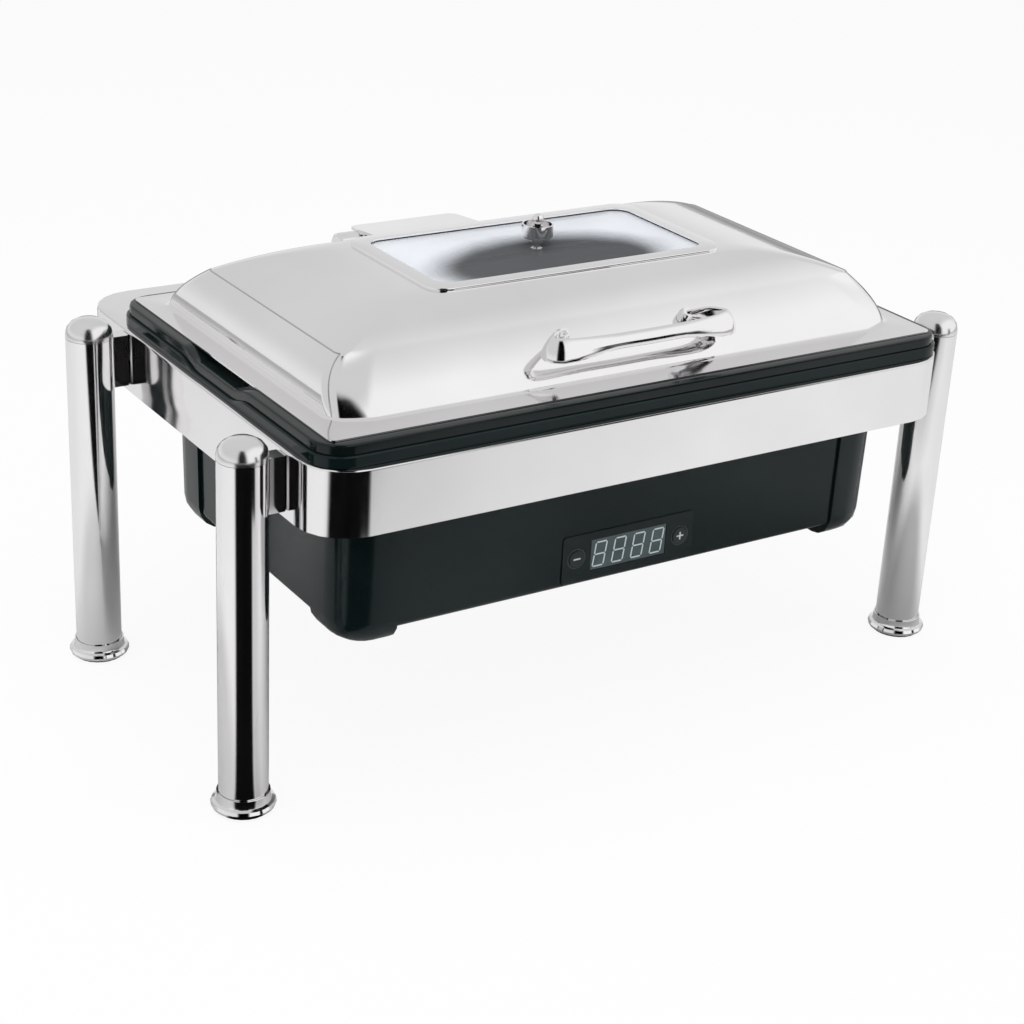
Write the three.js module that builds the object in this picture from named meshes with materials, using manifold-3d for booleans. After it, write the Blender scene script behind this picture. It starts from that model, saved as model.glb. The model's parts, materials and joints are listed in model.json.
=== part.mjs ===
// Electric chafing dish: a full-size food pan in a water bath, carried by a polished stand on four
// tube legs, heated from below, with a hinged lid that has a glass window.
// Millimetres, +Z up, +X to the right, -Y to the front. The origin is the middle of the outline on
// the table.
import * as THREE from 'three';
import { mergeVertices } from 'three/addons/utils/BufferGeometryUtils.js';
import Module from 'manifold-3d';

const wasm = await Module();
wasm.setup();

// Clearances and cutters
const fitGap = 0.3;
const cutOverrun = 2;
const jointDepth = 1;

// Food pan of the full gastronorm size. The rims, the lid and the stand follow it.
const foodRimWidth = 530;
const foodRimDepth = 325;
const foodRimCorner = 10;
const foodRimLip = 5.2;
const foodMouthInsetX = 16;
const foodMouthInsetY = 16.5;
const foodMouthWidth = foodRimWidth - 2 * foodMouthInsetX;
const foodMouthDepth = foodRimDepth - 2 * foodMouthInsetY;
const foodMouthCorner = 32;
const foodTaper = 7;
const foodPanDepth = 65;
const foodWall = 1;
const foodFloorRadius = 12;

// Water pan, with a sunk shelf for the food pan's rim
const shelfClear = 5;
const waterShelfWidth = foodRimWidth + 2 * shelfClear;
const waterShelfDepth = foodRimDepth + 2 * shelfClear;
const waterShelfDrop = 6.3;
const waterShelfCorner = 14;
const waterRimSide = 17.5;
const waterRimFront = 12;
const waterRimWidth = waterShelfWidth + 2 * waterRimSide;
const waterRimDepth = waterShelfDepth + 2 * waterRimFront;
const waterRimCorner = 24;
const waterRimHeight = 8;
const waterRimEdgeRadius = 2;
const waterRimThickness = 1.8;
const waterPanDepth = 96;
const waterPanWall = 1.6;
const waterPanClear = 1.2;
const waterPanFloorRadius = 14;

// Finger dips in the short sides of both rims
const dipFloorLength = 60;
const dipRampLength = 28;
const dipDepth = 6;

// Housing of black moulded plastic
const housingRimLedge = 2.5;
const housingRimWidth = waterRimWidth + 2 * housingRimLedge;
const housingRimDepth = waterRimDepth + 2 * housingRimLedge;
const housingRimCorner = 26;
const housingRimHeight = 8.6;
const housingRimThickness = 2.5;
const rimChamfer = 1;
const housingWall = 2.5;
const housingMouthInsetX = 5;
const housingMouthInsetY = 5.5;
const housingMouthWidth = waterShelfWidth - 2 * housingMouthInsetX;
const housingMouthDepth = waterShelfDepth - 2 * housingMouthInsetY;
const housingWaistInsetX = 9.5;
const housingWaistInsetY = 10;
const housingWaistWidth = housingMouthWidth - 2 * housingWaistInsetX;
const housingWaistDepth = housingMouthDepth - 2 * housingWaistInsetY;
const housingDraft = 1.5;
const housingBaseWidth = housingWaistWidth - 2 * housingDraft;
const housingBaseDepth = housingWaistDepth - 2 * housingDraft;
const housingWaistDrop = 52;
const housingHeight = 152.5;
const housingCornerRadius = 30;
const housingBaseRadius = 5;
const postProud = 2.5;
const postDrop = 13;
const postBaseRadius = 22;
const postWidth = 48;
const postDepth = 56;
const postAboveBand = 8;
const hatchMarginX = 54;
const hatchMarginY = 50.5;
const hatchWidth = housingBaseWidth - 2 * hatchMarginX;
const hatchDepth = housingBaseDepth - 2 * hatchMarginY;
const hatchCorner = 8;

// Stand: band with its top sheet. The pans share one middle line in front of the band's middle.
const bandSideMargin = 4.5;
const bandFrontMargin = 5.5;
const shelfDepth = 62.5;
const bandWidth = housingRimWidth + 2 * bandSideMargin;
const bandDepth = housingRimDepth + bandFrontMargin + shelfDepth;
const pansForward = (shelfDepth - bandFrontMargin) / 2;
const bandHeight = 52;
const bandTopDrop = 14.5;
const bandCornerRadius = 40;
const bandWall = 1.5;
const bandEdgeRadius = 2;
const bandHem = 7;
const mouthClear = 1.2;

// Stand: legs
const legStandOff = 31.5;
const legFrontInset = 59.2;
const legBackInset = 92.8;
const legHeight = 300;
const tubeDiameter = 38;
const tubeWall = 1.5;
const capDomeHeight = 13;
const capSkirtHeight = 3;
const capCornerRadius = 15;
const capCrown = 0.3;
const capSpigotDepth = 12;
const capWall = 1.5;
const footDiameter = 50;
const footHeight = 15;
const footBeadRadius = 3.5;
const footSleeveWall = 1.2;
const padHeight = 6;
const padProud = 1.5;
const padInset = 4;

// Stand: brackets and their bolts
const bracketWidth = 14;
const bracketHeight = 43;
const bracketTopDrop = 2.5;
const bracketChamfer = 1.5;
const boltDiameter = 6;
const boltHeadAcross = 10;
const boltHeadHeight = 4;
const boltEndReach = 5;

// Heater and electrics
const plateMarginX = 104;
const plateMarginY = 60.5;
const plateWidth = housingBaseWidth - 2 * plateMarginX;
const plateDepth = housingBaseDepth - 2 * plateMarginY;
const plateThickness = 6;
const plateCorner = 30;
const rodDiameter = 8;
const rodMarginX = 35;
const rodMarginY = 30;
const rodLoopWidth = plateWidth - 2 * rodMarginX;
const rodLoopDepth = plateDepth - 2 * rodMarginY;
const rodBendRadius = 35;
const rodTailLength = 30;
const clampWidth = 24;
const clampThickness = 2;
const clampFoot = 12;
const clampClear = 3;
const clampLength = plateWidth + 2 * (clampFoot + clampClear);
const clampSpacing = 80;
const cutoutDiameter = 16;
const cutoutHeight = 8;
const tabWidth = 0.8;
const tabThickness = 6;
const tabLength = 6;
const boardThickness = 1.6;
const powerBoardWidth = 120;
const powerBoardDepth = 80;
const powerBoardInset = 75;
const powerBoardX = powerBoardInset - hatchWidth / 2;
const terminalWidth = 50;
const terminalDepth = 12;
const terminalHeight = 12;
const standoffHeight = 8;
const standoffDiameter = 7;
const relayWidth = 20;
const relayDepth = 16;
const relayHeight = 14;
const hatchThickness = 1.5;
const hatchLap = 10;
const hatchRise = 3;
const slotCount = 9;
const slotLength = 60;
const slotWidth = 4;
const slotPitch = 14;

// Control panel
const bezelWidth = 126;
const bezelHeight = 40;
const bezelThickness = 2;
const bezelCorner = 3;
const bezelDrop = 128;
const bezelProud = 1;
const displayWidth = 72;
const displayHeight = 26;
const displayThickness = 3;
const displaySunk = 0.4;
const buttonSpacing = 100;
const buttonDiameter = 14;
const buttonFlangeWidth = 1.5;
const buttonFlangeThickness = 1;
const buttonProud = 0.8;
const buttonTravel = 0.8;
const controlBoardWidth = 118;
const controlBoardHeight = 34;
const switchSize = 6;
const switchHeight = 3;
const moduleInset = 4;
const panelPostDiameter = 5;

// Mains inlet at the back
const inletWidth = 27;
const inletHeight = 20;
const inletDepth = 22;
const inletFlangeWidth = 48;
const inletFlangeHeight = 24;
const inletFlangeThickness = 2.5;
const inletSocketWall = 1.8;
const inletSocketDepth = 16;
const inletCorner = 3;
const inletMargin = 104;
const inletCentreX = housingBaseWidth / 2 - inletMargin;
const inletDrop = 125.5;
const inletPinWidth = 2;
const inletPinLength = 11;
const inletPinHeight = 5;
const inletPinPitch = 7;

// Leads inside the housing
const leadDiameter = 5;
const leadSpread = 12;
const leadSlack = 30;

// Lid
const lidSideLap = 9.5;
const lidFrontLap = 3.5;
const lidWidth = waterShelfWidth + 2 * lidSideLap;
const lidDepth = waterShelfDepth + 2 * lidFrontLap;
const lidFlangeCorner = 6;
const lidSheet = 1.2;
const domeInsetX = 18.5;
const domeInsetY = 24;
const domeWidth = lidWidth - 2 * domeInsetX;
const domeDepth = lidDepth - 2 * domeInsetY;
const domeCorner = 8;
const coveReach = 5;
const coveRise = 1.2;
const shoulderInsetX = 21;
const shoulderInsetY = 36;
const shoulderWidth = domeWidth - 2 * shoulderInsetX;
const shoulderDepth = domeDepth - 2 * shoulderInsetY;
const shoulderCorner = 8;
const shoulderRise = 37;
const roofRunX = 101.5;
const roofRunY = 38.5;
const frameWidth = shoulderWidth - 2 * roofRunX;
const frameDepth = shoulderDepth - 2 * roofRunY;
const frameCorner = 18;
const frameRise = 60.2;
const topBack = 2.6;
const frameStep = 2.4;
const frameEdgeRadius = 1;
const windowMarginX = 13;
const windowMarginY = 12;
const windowWidth = frameWidth - 2 * windowMarginX;
const windowDepth = frameDepth - 2 * windowMarginY;
const windowCorner = 14;
const glassThickness = 4;
const glassMargin = 8;
const glassCrown = 3;
const gasketThickness = 0.8;
const gasketInset = 1;
const retainerSheet = 1.2;
const retainerSideClear = 0.6;
const retainerLip = 4;

// Knob on the window: a ball over a shallow cup
const knobBallDiameter = 9;
const knobBallRise = 19.7;
const knobCupDiameter = 26;
const knobCupWall = 1.5;
const knobCupHeight = 11;
const knobCupBevel = 1.5;
const knobHubDiameter = 10;
const knobHubHeight = 4.5;
const knobStemDiameter = 5;
const knobCollarDiameter = 8;
const knobCollarHeight = 1.5;
const knobNutAcross = 10;
const knobNutHeight = 5;

// Lid handle: a bow that curls back to two bosses on the front wall of the dome
// Half of the handle's bow in plan: boss, curl, tip, corner, bar and middle, with their depths
// in front of the boss
const handleBossSpacing = 116;
const handleCurlSpacing = 149;
const handleLength = 169;
const handleCornerSpacing = 152;
const handleBarSpacing = 62;
const handleCurlDepth = 8.5;
const handleTipDepth = 21;
const handleCornerDepth = 30;
const handleBarDepth = 32.5;
const handleMidDepth = 33;
const handleTipDrop = 0.5;
const handleMidDrop = -1.5;
const handleMidHeight = 12;
const handleTipHeight = 19;
const handleEndHeight = 9;
const handleMidThickness = 8;
const handleTipThickness = 6;
const handleEndThickness = 8;
const handleLean = 0.42;
const handleBossDiameter = 12;
const handleBossLength = 6;
const handleBossCrown = 4;
const handleScrewDiameter = 5;
const handleScrewDepth = 6;
const handleScrewHead = 9;
const handleScrewHeadHeight = 3;

// Hinge
const hingeBehindRim = 24.5;
const hingeAxisBack = housingRimDepth / 2 - pansForward + hingeBehindRim;
const hingeAxisAboveBand = 26.5;
const hingeArmWidth = 107;
const hingeArmThickness = 2.5;
const hingeArmForward = 79;
const hingeArmBehind = 16;
const hingeArmRearRise = 12.4;
const hingeArmSlope = 0.1;
const hingeArmCorner = 8;
const hingeCheekInset = 6;
const hingeCheekRadius = 9;
const hingeCheekClear = 1.5;
const hingeFootDepth = 17;
const hingeBaseDepth = 50;
const hingeBaseThickness = 2.5;
const hingeEarThickness = 4;
const hingeEarRadius = 9;
const hingeEarFoot = 19;
const hingeEarGap = 1.8;
const hingeBaseBack = 2;
const hingePinHeadEdge = 2;
const hingePinDiameter = 8;
const hingePinHeadDiameter = 24;
const hingePinHeadLength = 20;
const damperDiameter = 20;
const damperLength = 70;
const damperWebWidth = 36;
const damperWebThickness = 8;

// Counts of facets
const tubeSteps = 24;
const cornerSteps = 5;
const smallSteps = 12;
const hexSides = 6;
const capSteps = 4;
const beadSteps = 4;
const filletSteps = 4;
const dipSteps = 4;
const wallSteps = 6;
const roofSteps = 6;
const crownSteps = 4;
const bowSteps = 40;
const ballSteps = 6;
const leadSides = 8;
const leadSteps = 16;
const rodSteps = 32;

// Shares and powers that shape the curves
const wallPowerX = 2.2;
const wallPowerY = 1.37;
const roofPowerX = 2;
const roofPowerY = 1.39;
const shoulderLeanShare = 0.6;
const roofLeanShare = 0.35;
const handleWallShare = 0.72;
const cheekLowShare = 0.25;
const cheekHighShare = 0.55;
const glassCentreShare = 0.08;

// Finishes
const finish = (color, roughness, metalness) => (
  new THREE.MeshStandardMaterial({ color, roughness, metalness }));
const polishedSteel = finish(0xd9dadc, 0.08, 1);
const satinSteel = finish(0xb9bbbd, 0.3, 1);
const castAluminium = finish(0xa7a9ab, 0.45, 1);
const blackGloss = finish(0x1b2422, 0.18, 0);
const blackMatt = finish(0x1a1c1c, 0.6, 0);
const displayGrey = finish(0x56666a, 0.15, 0);
const blackRubber = finish(0x151515, 0.85, 0);
const clearGlass = finish(0xdfe8ec, 0.03, 0);
const boardGreen = finish(0x1f5a34, 0.5, 0);
const leadGrey = finish(0x6b6e70, 0.6, 0);

// Turns a closed three.js geometry into a solid
function solid(geometry) {
  const bare = geometry.clone();
  for (const name of Object.keys(bare.attributes)) {
    if (name !== 'position') bare.deleteAttribute(name);
  }
  const merged = mergeVertices(bare, 1e-4);
  return new wasm.Manifold(new wasm.Mesh({
    numProp: 3,
    vertProperties: new Float32Array(merged.attributes.position.array),
    triVerts: new Uint32Array(merged.index.array),
  }));
}

// Turns a solid back into a three.js geometry
function geometryOf(body) {
  const mesh = body.getMesh();
  const geometry = new THREE.BufferGeometry();
  geometry.setAttribute('position', new THREE.BufferAttribute(new Float32Array(mesh.vertProperties), 3));
  geometry.setIndex(new THREE.BufferAttribute(new Uint32Array(mesh.triVerts), 1));
  return geometry;
}

function joined(...geometries) {
  return geometryOf(geometries.map(solid).reduce((a, b) => a.add(b)));
}

function cut(geometry, ...cutters) {
  return geometryOf(cutters.map(solid).reduce((a, b) => a.subtract(b), solid(geometry)));
}

function common(geometry, other) {
  return geometryOf(solid(geometry).intersect(solid(other)));
}

// Makes a named sub-part
function part(name, geometry, material) {
  const mesh = new THREE.Mesh(geometry, material);
  mesh.name = name;
  return mesh;
}

// A closed skin through rings that have equally many points. The rings run up the outside and down
// the inside; wrap joins the last ring to the first, otherwise the end rings are filled in.
function skin(rings, wrap = false) {
  const count = rings[0].length;
  const faces = [];
  const bands = wrap ? rings.length : rings.length - 1;
  for (let band = 0; band < bands; band += 1) {
    const low = band * count;
    const high = ((band + 1) % rings.length) * count;
    for (let i = 0; i < count; i += 1) {
      const j = (i + 1) % count;
      faces.push(low + i, low + j, high + j, low + i, high + j, high + i);
    }
  }
  if (!wrap) {
    const last = (rings.length - 1) * count;
    for (let i = 1; i < count - 1; i += 1) {
      faces.push(0, i + 1, i, last, last + i, last + i + 1);
    }
  }
  const geometry = new THREE.BufferGeometry();
  const positions = rings.flat().flatMap((point) => [point.x, point.y, point.z]);
  geometry.setAttribute('position', new THREE.BufferAttribute(new Float32Array(positions), 3));
  geometry.setIndex(faces);
  return geometry;
}


// One level of a rounded rectangle, counter-clockwise seen from above. The short sides take extra
// points at the stations, and lift moves each point up by an amount that depends on its place.
function ring(width, depth, radius, z, options = {}) {
  const { steps = cornerSteps, stations = [], lift = () => 0, centreY = 0 } = options;
  const points = [];
  const reachX = width / 2 - radius;
  const reachY = depth / 2 - radius;
  const corners = [[1, -1, -0.5], [1, 1, 0], [-1, 1, 0.5], [-1, -1, 1]];
  corners.forEach(([sideX, sideY, turn]) => {
    for (let i = 0; i <= steps; i += 1) {
      const angle = (turn + 0.5 * (i / steps)) * Math.PI;
      points.push([sideX * reachX + radius * Math.cos(angle), sideY * reachY + radius * Math.sin(angle)]);
    }
    if (sideX * sideY < 0) {
      stations.forEach((station) => points.push([sideX * width / 2, sideX * station]));
    }
  });
  return points.map(([x, y]) => new THREE.Vector3(x, y + centreY, z + lift(x, y)));
}

// A rounded rectangle as a flat outline
function outline(width, depth, radius) {
  const shape = new THREE.Shape();
  const x = width / 2 - radius;
  const y = depth / 2 - radius;
  shape.absarc(x, -y, radius, -Math.PI / 2, 0);
  shape.absarc(x, y, radius, 0, Math.PI / 2);
  shape.absarc(-x, y, radius, Math.PI / 2, Math.PI);
  shape.absarc(-x, -y, radius, Math.PI, Math.PI * 1.5);
  return shape;
}

function polygon(points) {
  return new THREE.Shape(points.map(([x, y]) => new THREE.Vector2(x, y)));
}

function extrude(shape, depth, curveSegments = cornerSteps) {
  return new THREE.ExtrudeGeometry(shape, { depth, bevelEnabled: false, curveSegments });
}

// A slab with rounded corners, from height z upwards
function slab(width, depth, radius, thickness, z = 0, curveSegments = cornerSteps) {
  return extrude(outline(width, depth, radius), thickness, curveSegments).translate(0, 0, z);
}

// A slab that stands upright across the front, from y backwards
function uprightSlab(width, height, radius, thickness, y, curveSegments = cornerSteps) {
  return extrude(outline(width, height, radius), thickness, curveSegments)
    .rotateX(Math.PI / 2).translate(0, y + thickness, 0);
}

// A block that stands on height z, with its middle at x and y
function block(width, depth, height, x, y, z) {
  return new THREE.BoxGeometry(width, depth, height).translate(x, y, z + height / 2);
}

// A revolved solid about +Z. The profile holds [radius, height] pairs, runs up its outside, and
// closes on the axis or on itself.
function turned(profile, steps = tubeSteps) {
  const points = profile.map(([radius, height]) => new THREE.Vector2(radius, height));
  return new THREE.LatheGeometry(points, steps).rotateX(Math.PI / 2);
}

// A rod along +Z from height z
function rod(diameter, length, z = 0, steps = smallSteps) {
  return new THREE.CylinderGeometry(diameter / 2, diameter / 2, length, steps)
    .rotateX(Math.PI / 2).translate(0, 0, z + length / 2);
}

function rodX(diameter, from, to, y, z, steps = smallSteps) {
  return rod(diameter, to - from, from, steps).rotateY(Math.PI / 2).translate(0, y, z);
}

function rodY(diameter, from, to, x, z, steps = smallSteps) {
  return rod(diameter, to - from, from, steps).rotateX(-Math.PI / 2).translate(x, 0, z);
}

// A round lead along a smooth curve through points
function lead(points) {
  const curve = new THREE.CatmullRomCurve3(points.map(([x, y, z]) => new THREE.Vector3(x, y, z)));
  const section = new THREE.Shape().absarc(0, 0, leadDiameter / 2, 0, Math.PI * 2);
  return new THREE.ExtrudeGeometry(section, {
    steps: leadSteps, curveSegments: leadSides / 2, extrudePath: curve, bevelEnabled: false,
  });
}

const object = new THREE.Group();

// Heights and places that the pieces share
const bandTop = legHeight - bandTopDrop;
const bandBottom = bandTop - bandHeight;
const housingRimBottom = bandTop + fitGap;
const housingRimTop = housingRimBottom + housingRimHeight;
const waterRimBottom = housingRimTop + fitGap;
const waterRimTop = waterRimBottom + waterRimHeight;
const waterShelfTop = waterRimTop - waterShelfDrop;
const waterFloorBottom = waterShelfTop - waterPanDepth - waterPanWall;
const foodRimTop = waterShelfTop + fitGap + foodRimLip;
const lidBottom = waterRimTop + fitGap;
const flangeTop = lidBottom + lidSheet;
const frameTop = flangeTop + frameRise;
const frameFoot = frameTop - frameStep;
const housingFloor = bandTop - housingHeight;
const housingWaist = bandTop - housingWaistDrop;
const bezelCentreHeight = bandTop - bezelDrop;
const inletCentreHeight = bandTop - inletDrop;
const legRadius = tubeDiameter / 2;
const bracketMiddle = bandTop - bracketTopDrop - bracketHeight / 2;
const boltHole = boltDiameter + 2 * fitGap;
const legX = bandWidth / 2 + legStandOff;
const legYs = [legFrontInset - bandDepth / 2, bandDepth / 2 - legBackInset];

// How far the rims dip at a place along the short sides
function dip(x, y) {
  const beyond = Math.abs(y) - dipFloorLength / 2;
  return -dipDepth * (1 - THREE.MathUtils.smoothstep(beyond, 0, dipRampLength));
}

// Places along the short sides where the dips bend, from front to back
const dipHalf = Array.from({ length: dipSteps + 1 }, (_, i) => (
  dipFloorLength / 2 + dipRampLength * (i / dipSteps)));
const dipStations = [...dipHalf.map((y) => -y).reverse(), ...dipHalf];

// Leg pieces stand around their own axis, with the band on their +X side

function legTube() {
  const top = legHeight - capDomeHeight - capSkirtHeight;
  const inner = legRadius - tubeWall;
  const tube = turned([
    [legRadius, padProud], [legRadius, top], [inner, top], [inner, padProud], [legRadius, padProud],
  ]);
  return cut(tube, rodX(boltHole, 0, legRadius + cutOverrun, 0, bracketMiddle));
}

function legCap() {
  const spigot = legRadius - tubeWall - fitGap;
  const seat = legHeight - capDomeHeight - capSkirtHeight + fitGap;
  const shoulder = legHeight - capDomeHeight;
  const dome = [];
  for (let i = 0; i <= capSteps; i += 1) {
    const angle = (i / capSteps) * Math.PI / 2;
    const radius = legRadius - capCornerRadius * (1 - Math.cos(angle));
    dome.push([radius, shoulder + (capDomeHeight - capCrown) * Math.sin(angle)]);
  }
  return turned([
    [0, seat], [spigot - capWall, seat], [spigot - capWall, seat - capSpigotDepth],
    [spigot, seat - capSpigotDepth], [spigot, seat], [legRadius, seat], ...dome, [0, legHeight],
  ]);
}

function legFoot() {
  const inner = legRadius + fitGap;
  const sleeve = inner + footSleeveWall;
  const beadCentre = footDiameter / 2 - footBeadRadius;
  const bead = [];
  for (let i = 0; i <= beadSteps; i += 1) {
    const angle = (i / beadSteps - 0.5) * Math.PI;
    const height = padProud + footBeadRadius * (1 + Math.sin(angle));
    bead.push([beadCentre + footBeadRadius * Math.cos(angle), height]);
  }
  const neck = (padProud + 2 * footBeadRadius + footHeight) / 2;
  return turned([
    [inner, padProud], ...bead, [sleeve, neck], [sleeve, footHeight], [inner, footHeight],
    [inner, padProud],
  ]);
}

function legPad() {
  const disc = footDiameter / 2 - padInset;
  const plug = legRadius - tubeWall - fitGap;
  return turned([
    [0, 0], [disc, 0], [disc, padProud - fitGap], [plug, padProud - fitGap], [plug, padHeight],
    [0, padHeight],
  ]);
}

function legBracket() {
  const end = legStandOff - fitGap;
  const side = bracketWidth / 2;
  const plan = polygon([
    [0, -side], [end - bracketChamfer, -side], [end, -side + bracketChamfer], [end, side - bracketChamfer],
    [end - bracketChamfer, side], [0, side],
  ]);
  const bar = extrude(plan, bracketHeight).translate(0, 0, bracketMiddle - bracketHeight / 2);
  const saddle = rod(tubeDiameter + 2 * fitGap, bracketHeight + 2 * cutOverrun,
    bracketMiddle - bracketHeight / 2 - cutOverrun, tubeSteps);
  return cut(bar, saddle, rodX(boltHole, 0, end + cutOverrun, 0, bracketMiddle));
}

function legBolt() {
  const head = legStandOff + bandWall + fitGap;
  const tip = legRadius - tubeWall - boltEndReach;
  return joined(
    rodX(boltDiameter, tip, head + boltHeadHeight / 2, 0, bracketMiddle, smallSteps),
    rodX(boltHeadAcross, head, head + boltHeadHeight, 0, bracketMiddle, hexSides),
  );
}

function addLeg(name, x, y) {
  const leg = new THREE.Group();
  leg.position.set(x, y, 0);
  leg.rotation.z = x > 0 ? Math.PI : 0;
  leg.add(part(`leg_tube_${name}`, legTube(), polishedSteel));
  leg.add(part(`leg_cap_${name}`, legCap(), polishedSteel));
  leg.add(part(`leg_foot_${name}`, legFoot(), polishedSteel));
  leg.add(part(`leg_pad_${name}`, legPad(), blackRubber));
  leg.add(part(`leg_bracket_${name}`, legBracket(), polishedSteel));
  leg.add(part(`leg_bolt_${name}`, legBolt(), satinSteel));
  object.add(leg);
}

// The band is one folded sheet: a wall with a hem below, and a top with the mouth for the pans.
// Its back part is the shelf that carries the hinge.
function frameBand() {
  const level = (inset, z) => ring(bandWidth - 2 * inset, bandDepth - 2 * inset, bandCornerRadius - inset, z);
  const mouth = (z) => ring(housingMouthWidth + 2 * mouthClear, housingMouthDepth + 2 * mouthClear,
    housingCornerRadius + mouthClear, z, { centreY: -pansForward });
  const slope = bandEdgeRadius * (1 - Math.SQRT1_2);
  const shell = skin([
    level(0, bandBottom), level(0, bandTop - bandEdgeRadius), level(slope, bandTop - slope),
    level(bandEdgeRadius, bandTop), mouth(bandTop), mouth(bandTop - bandWall),
    level(bandEdgeRadius, bandTop - bandWall), level(bandWall, bandTop - bandEdgeRadius - bandWall),
    level(bandWall, bandBottom + bandWall), level(bandHem, bandBottom + bandWall),
    level(bandHem, bandBottom),
  ], true);
  const reach = bandWidth / 2 + cutOverrun;
  return cut(shell, ...legYs.map((y) => rodX(boltHole, -reach, reach, y, bracketMiddle)));
}

// Width, depth and corner radius of the housing's outside, grown by an amount, at three levels
const housingLevels = {
  mouth: [housingMouthWidth, housingMouthDepth, housingCornerRadius],
  waist: [housingWaistWidth, housingWaistDepth, housingCornerRadius],
  base: [housingBaseWidth, housingBaseDepth, housingCornerRadius],
};

function housingRing(level, grow, z, options) {
  const [width, depth, radius] = housingLevels[level];
  return ring(width + 2 * grow, depth + 2 * grow, radius + grow, z, options);
}

// The levels of a foot that is rounded off over a radius
function footRings(radius, z, makeRing) {
  const rings = [];
  for (let i = 0; i < filletSteps; i += 1) {
    const angle = (i / filletSteps) * Math.PI / 2;
    rings.push(makeRing(-radius * (1 - Math.sin(angle)), z + radius * (1 - Math.cos(angle))));
  }
  rings.push(makeRing(0, z + radius));
  return rings;
}

function housingFrontY(z) {
  const share = (z - housingFloor) / (housingWaist - housingFloor);
  return -THREE.MathUtils.lerp(housingBaseDepth, housingWaistDepth, share) / 2;
}

// Four round-footed posts at the corners of the housing
function housingPosts(cavity) {
  const bottom = housingFloor - postDrop;
  const top = bandBottom + postAboveBand;
  const body = skin([
    ...footRings(postBaseRadius, bottom, (grow, z) => housingRing('base', postProud + grow, z)),
    housingRing('waist', postProud, top),
  ]);
  const width = housingWaistWidth + 2 * postProud;
  const depth = housingWaistDepth + 2 * postProud;
  const quarters = [[1, 1], [1, -1], [-1, 1], [-1, -1]].map(([sideX, sideY]) => block(
    postWidth * 2, postDepth * 2, top - bottom + 2 * cutOverrun,
    sideX * width / 2, sideY * depth / 2, bottom - cutOverrun,
  ));
  return cut(common(body, joined(...quarters)), cavity);
}

function baseHousing() {
  const lift = { lift: dip, stations: dipStations };
  const plain = { stations: dipStations };
  const rim = (inset, z, options) => ring(housingRimWidth - 2 * inset, housingRimDepth - 2 * inset,
    housingRimCorner - inset, z, options);
  const under = housingRimTop - housingRimThickness;
  const shell = skin([
    ...footRings(housingBaseRadius, housingFloor, (grow, z) => housingRing('base', grow, z, plain)),
    housingRing('waist', 0, housingWaist, plain),
    housingRing('mouth', 0, under, lift),
    rim(housingWall, under, lift), rim(housingWall, housingRimBottom, plain),
    rim(0, housingRimBottom, plain), rim(0, housingRimTop - rimChamfer, lift),
    rim(rimChamfer, housingRimTop, lift),
    housingRing('mouth', -housingWall, housingRimTop, lift),
    housingRing('waist', -housingWall, housingWaist, plain),
    housingRing('base', -housingWall, housingFloor + housingBaseRadius, plain),
    housingRing('base', -housingWall - housingBaseRadius / 2, housingFloor + housingWall, plain),
  ]);
  const cavity = skin([
    housingRing('base', -housingWall - housingBaseRadius / 2, housingFloor + housingWall),
    housingRing('base', -housingWall, housingFloor + housingBaseRadius),
    housingRing('waist', -housingWall, housingWaist),
    housingRing('mouth', -housingWall, bandTop),
  ]);
  const hatch = slab(hatchWidth, hatchDepth, hatchCorner, housingWall + 2 * cutOverrun,
    housingFloor - cutOverrun);
  const wall = housingWall + 2 * cutOverrun;
  const panel = uprightSlab(bezelWidth + 2 * fitGap, bezelHeight + 2 * fitGap, bezelCorner, wall,
    housingFrontY(bezelCentreHeight) - cutOverrun).translate(0, 0, bezelCentreHeight);
  const socket = uprightSlab(inletWidth + 2 * fitGap, inletHeight + 2 * fitGap, inletCorner, wall,
    -housingFrontY(inletCentreHeight) - housingWall - cutOverrun,
  ).translate(inletCentreX, 0, inletCentreHeight);
  return cut(joined(shell, housingPosts(cavity)), hatch, panel, socket);
}

// Tray that closes the hole in the housing's floor, with slots for air
function baseHatch() {
  const top = housingFloor - fitGap;
  const plate = slab(hatchWidth + 2 * hatchLap, hatchDepth + 2 * hatchLap, hatchCorner + hatchLap,
    hatchThickness, top - hatchThickness);
  const raised = slab(hatchWidth - 2 * fitGap, hatchDepth - 2 * fitGap, hatchCorner - fitGap, hatchRise,
    top - hatchThickness);
  const slots = [];
  for (let i = 0; i < slotCount; i += 1) {
    const x = (i - (slotCount - 1) / 2) * slotPitch;
    slots.push(block(slotWidth, slotLength, hatchRise + 2 * cutOverrun,
      x, 0, top - hatchThickness - cutOverrun));
  }
  return cut(joined(plate, raised), ...slots);
}

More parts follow.
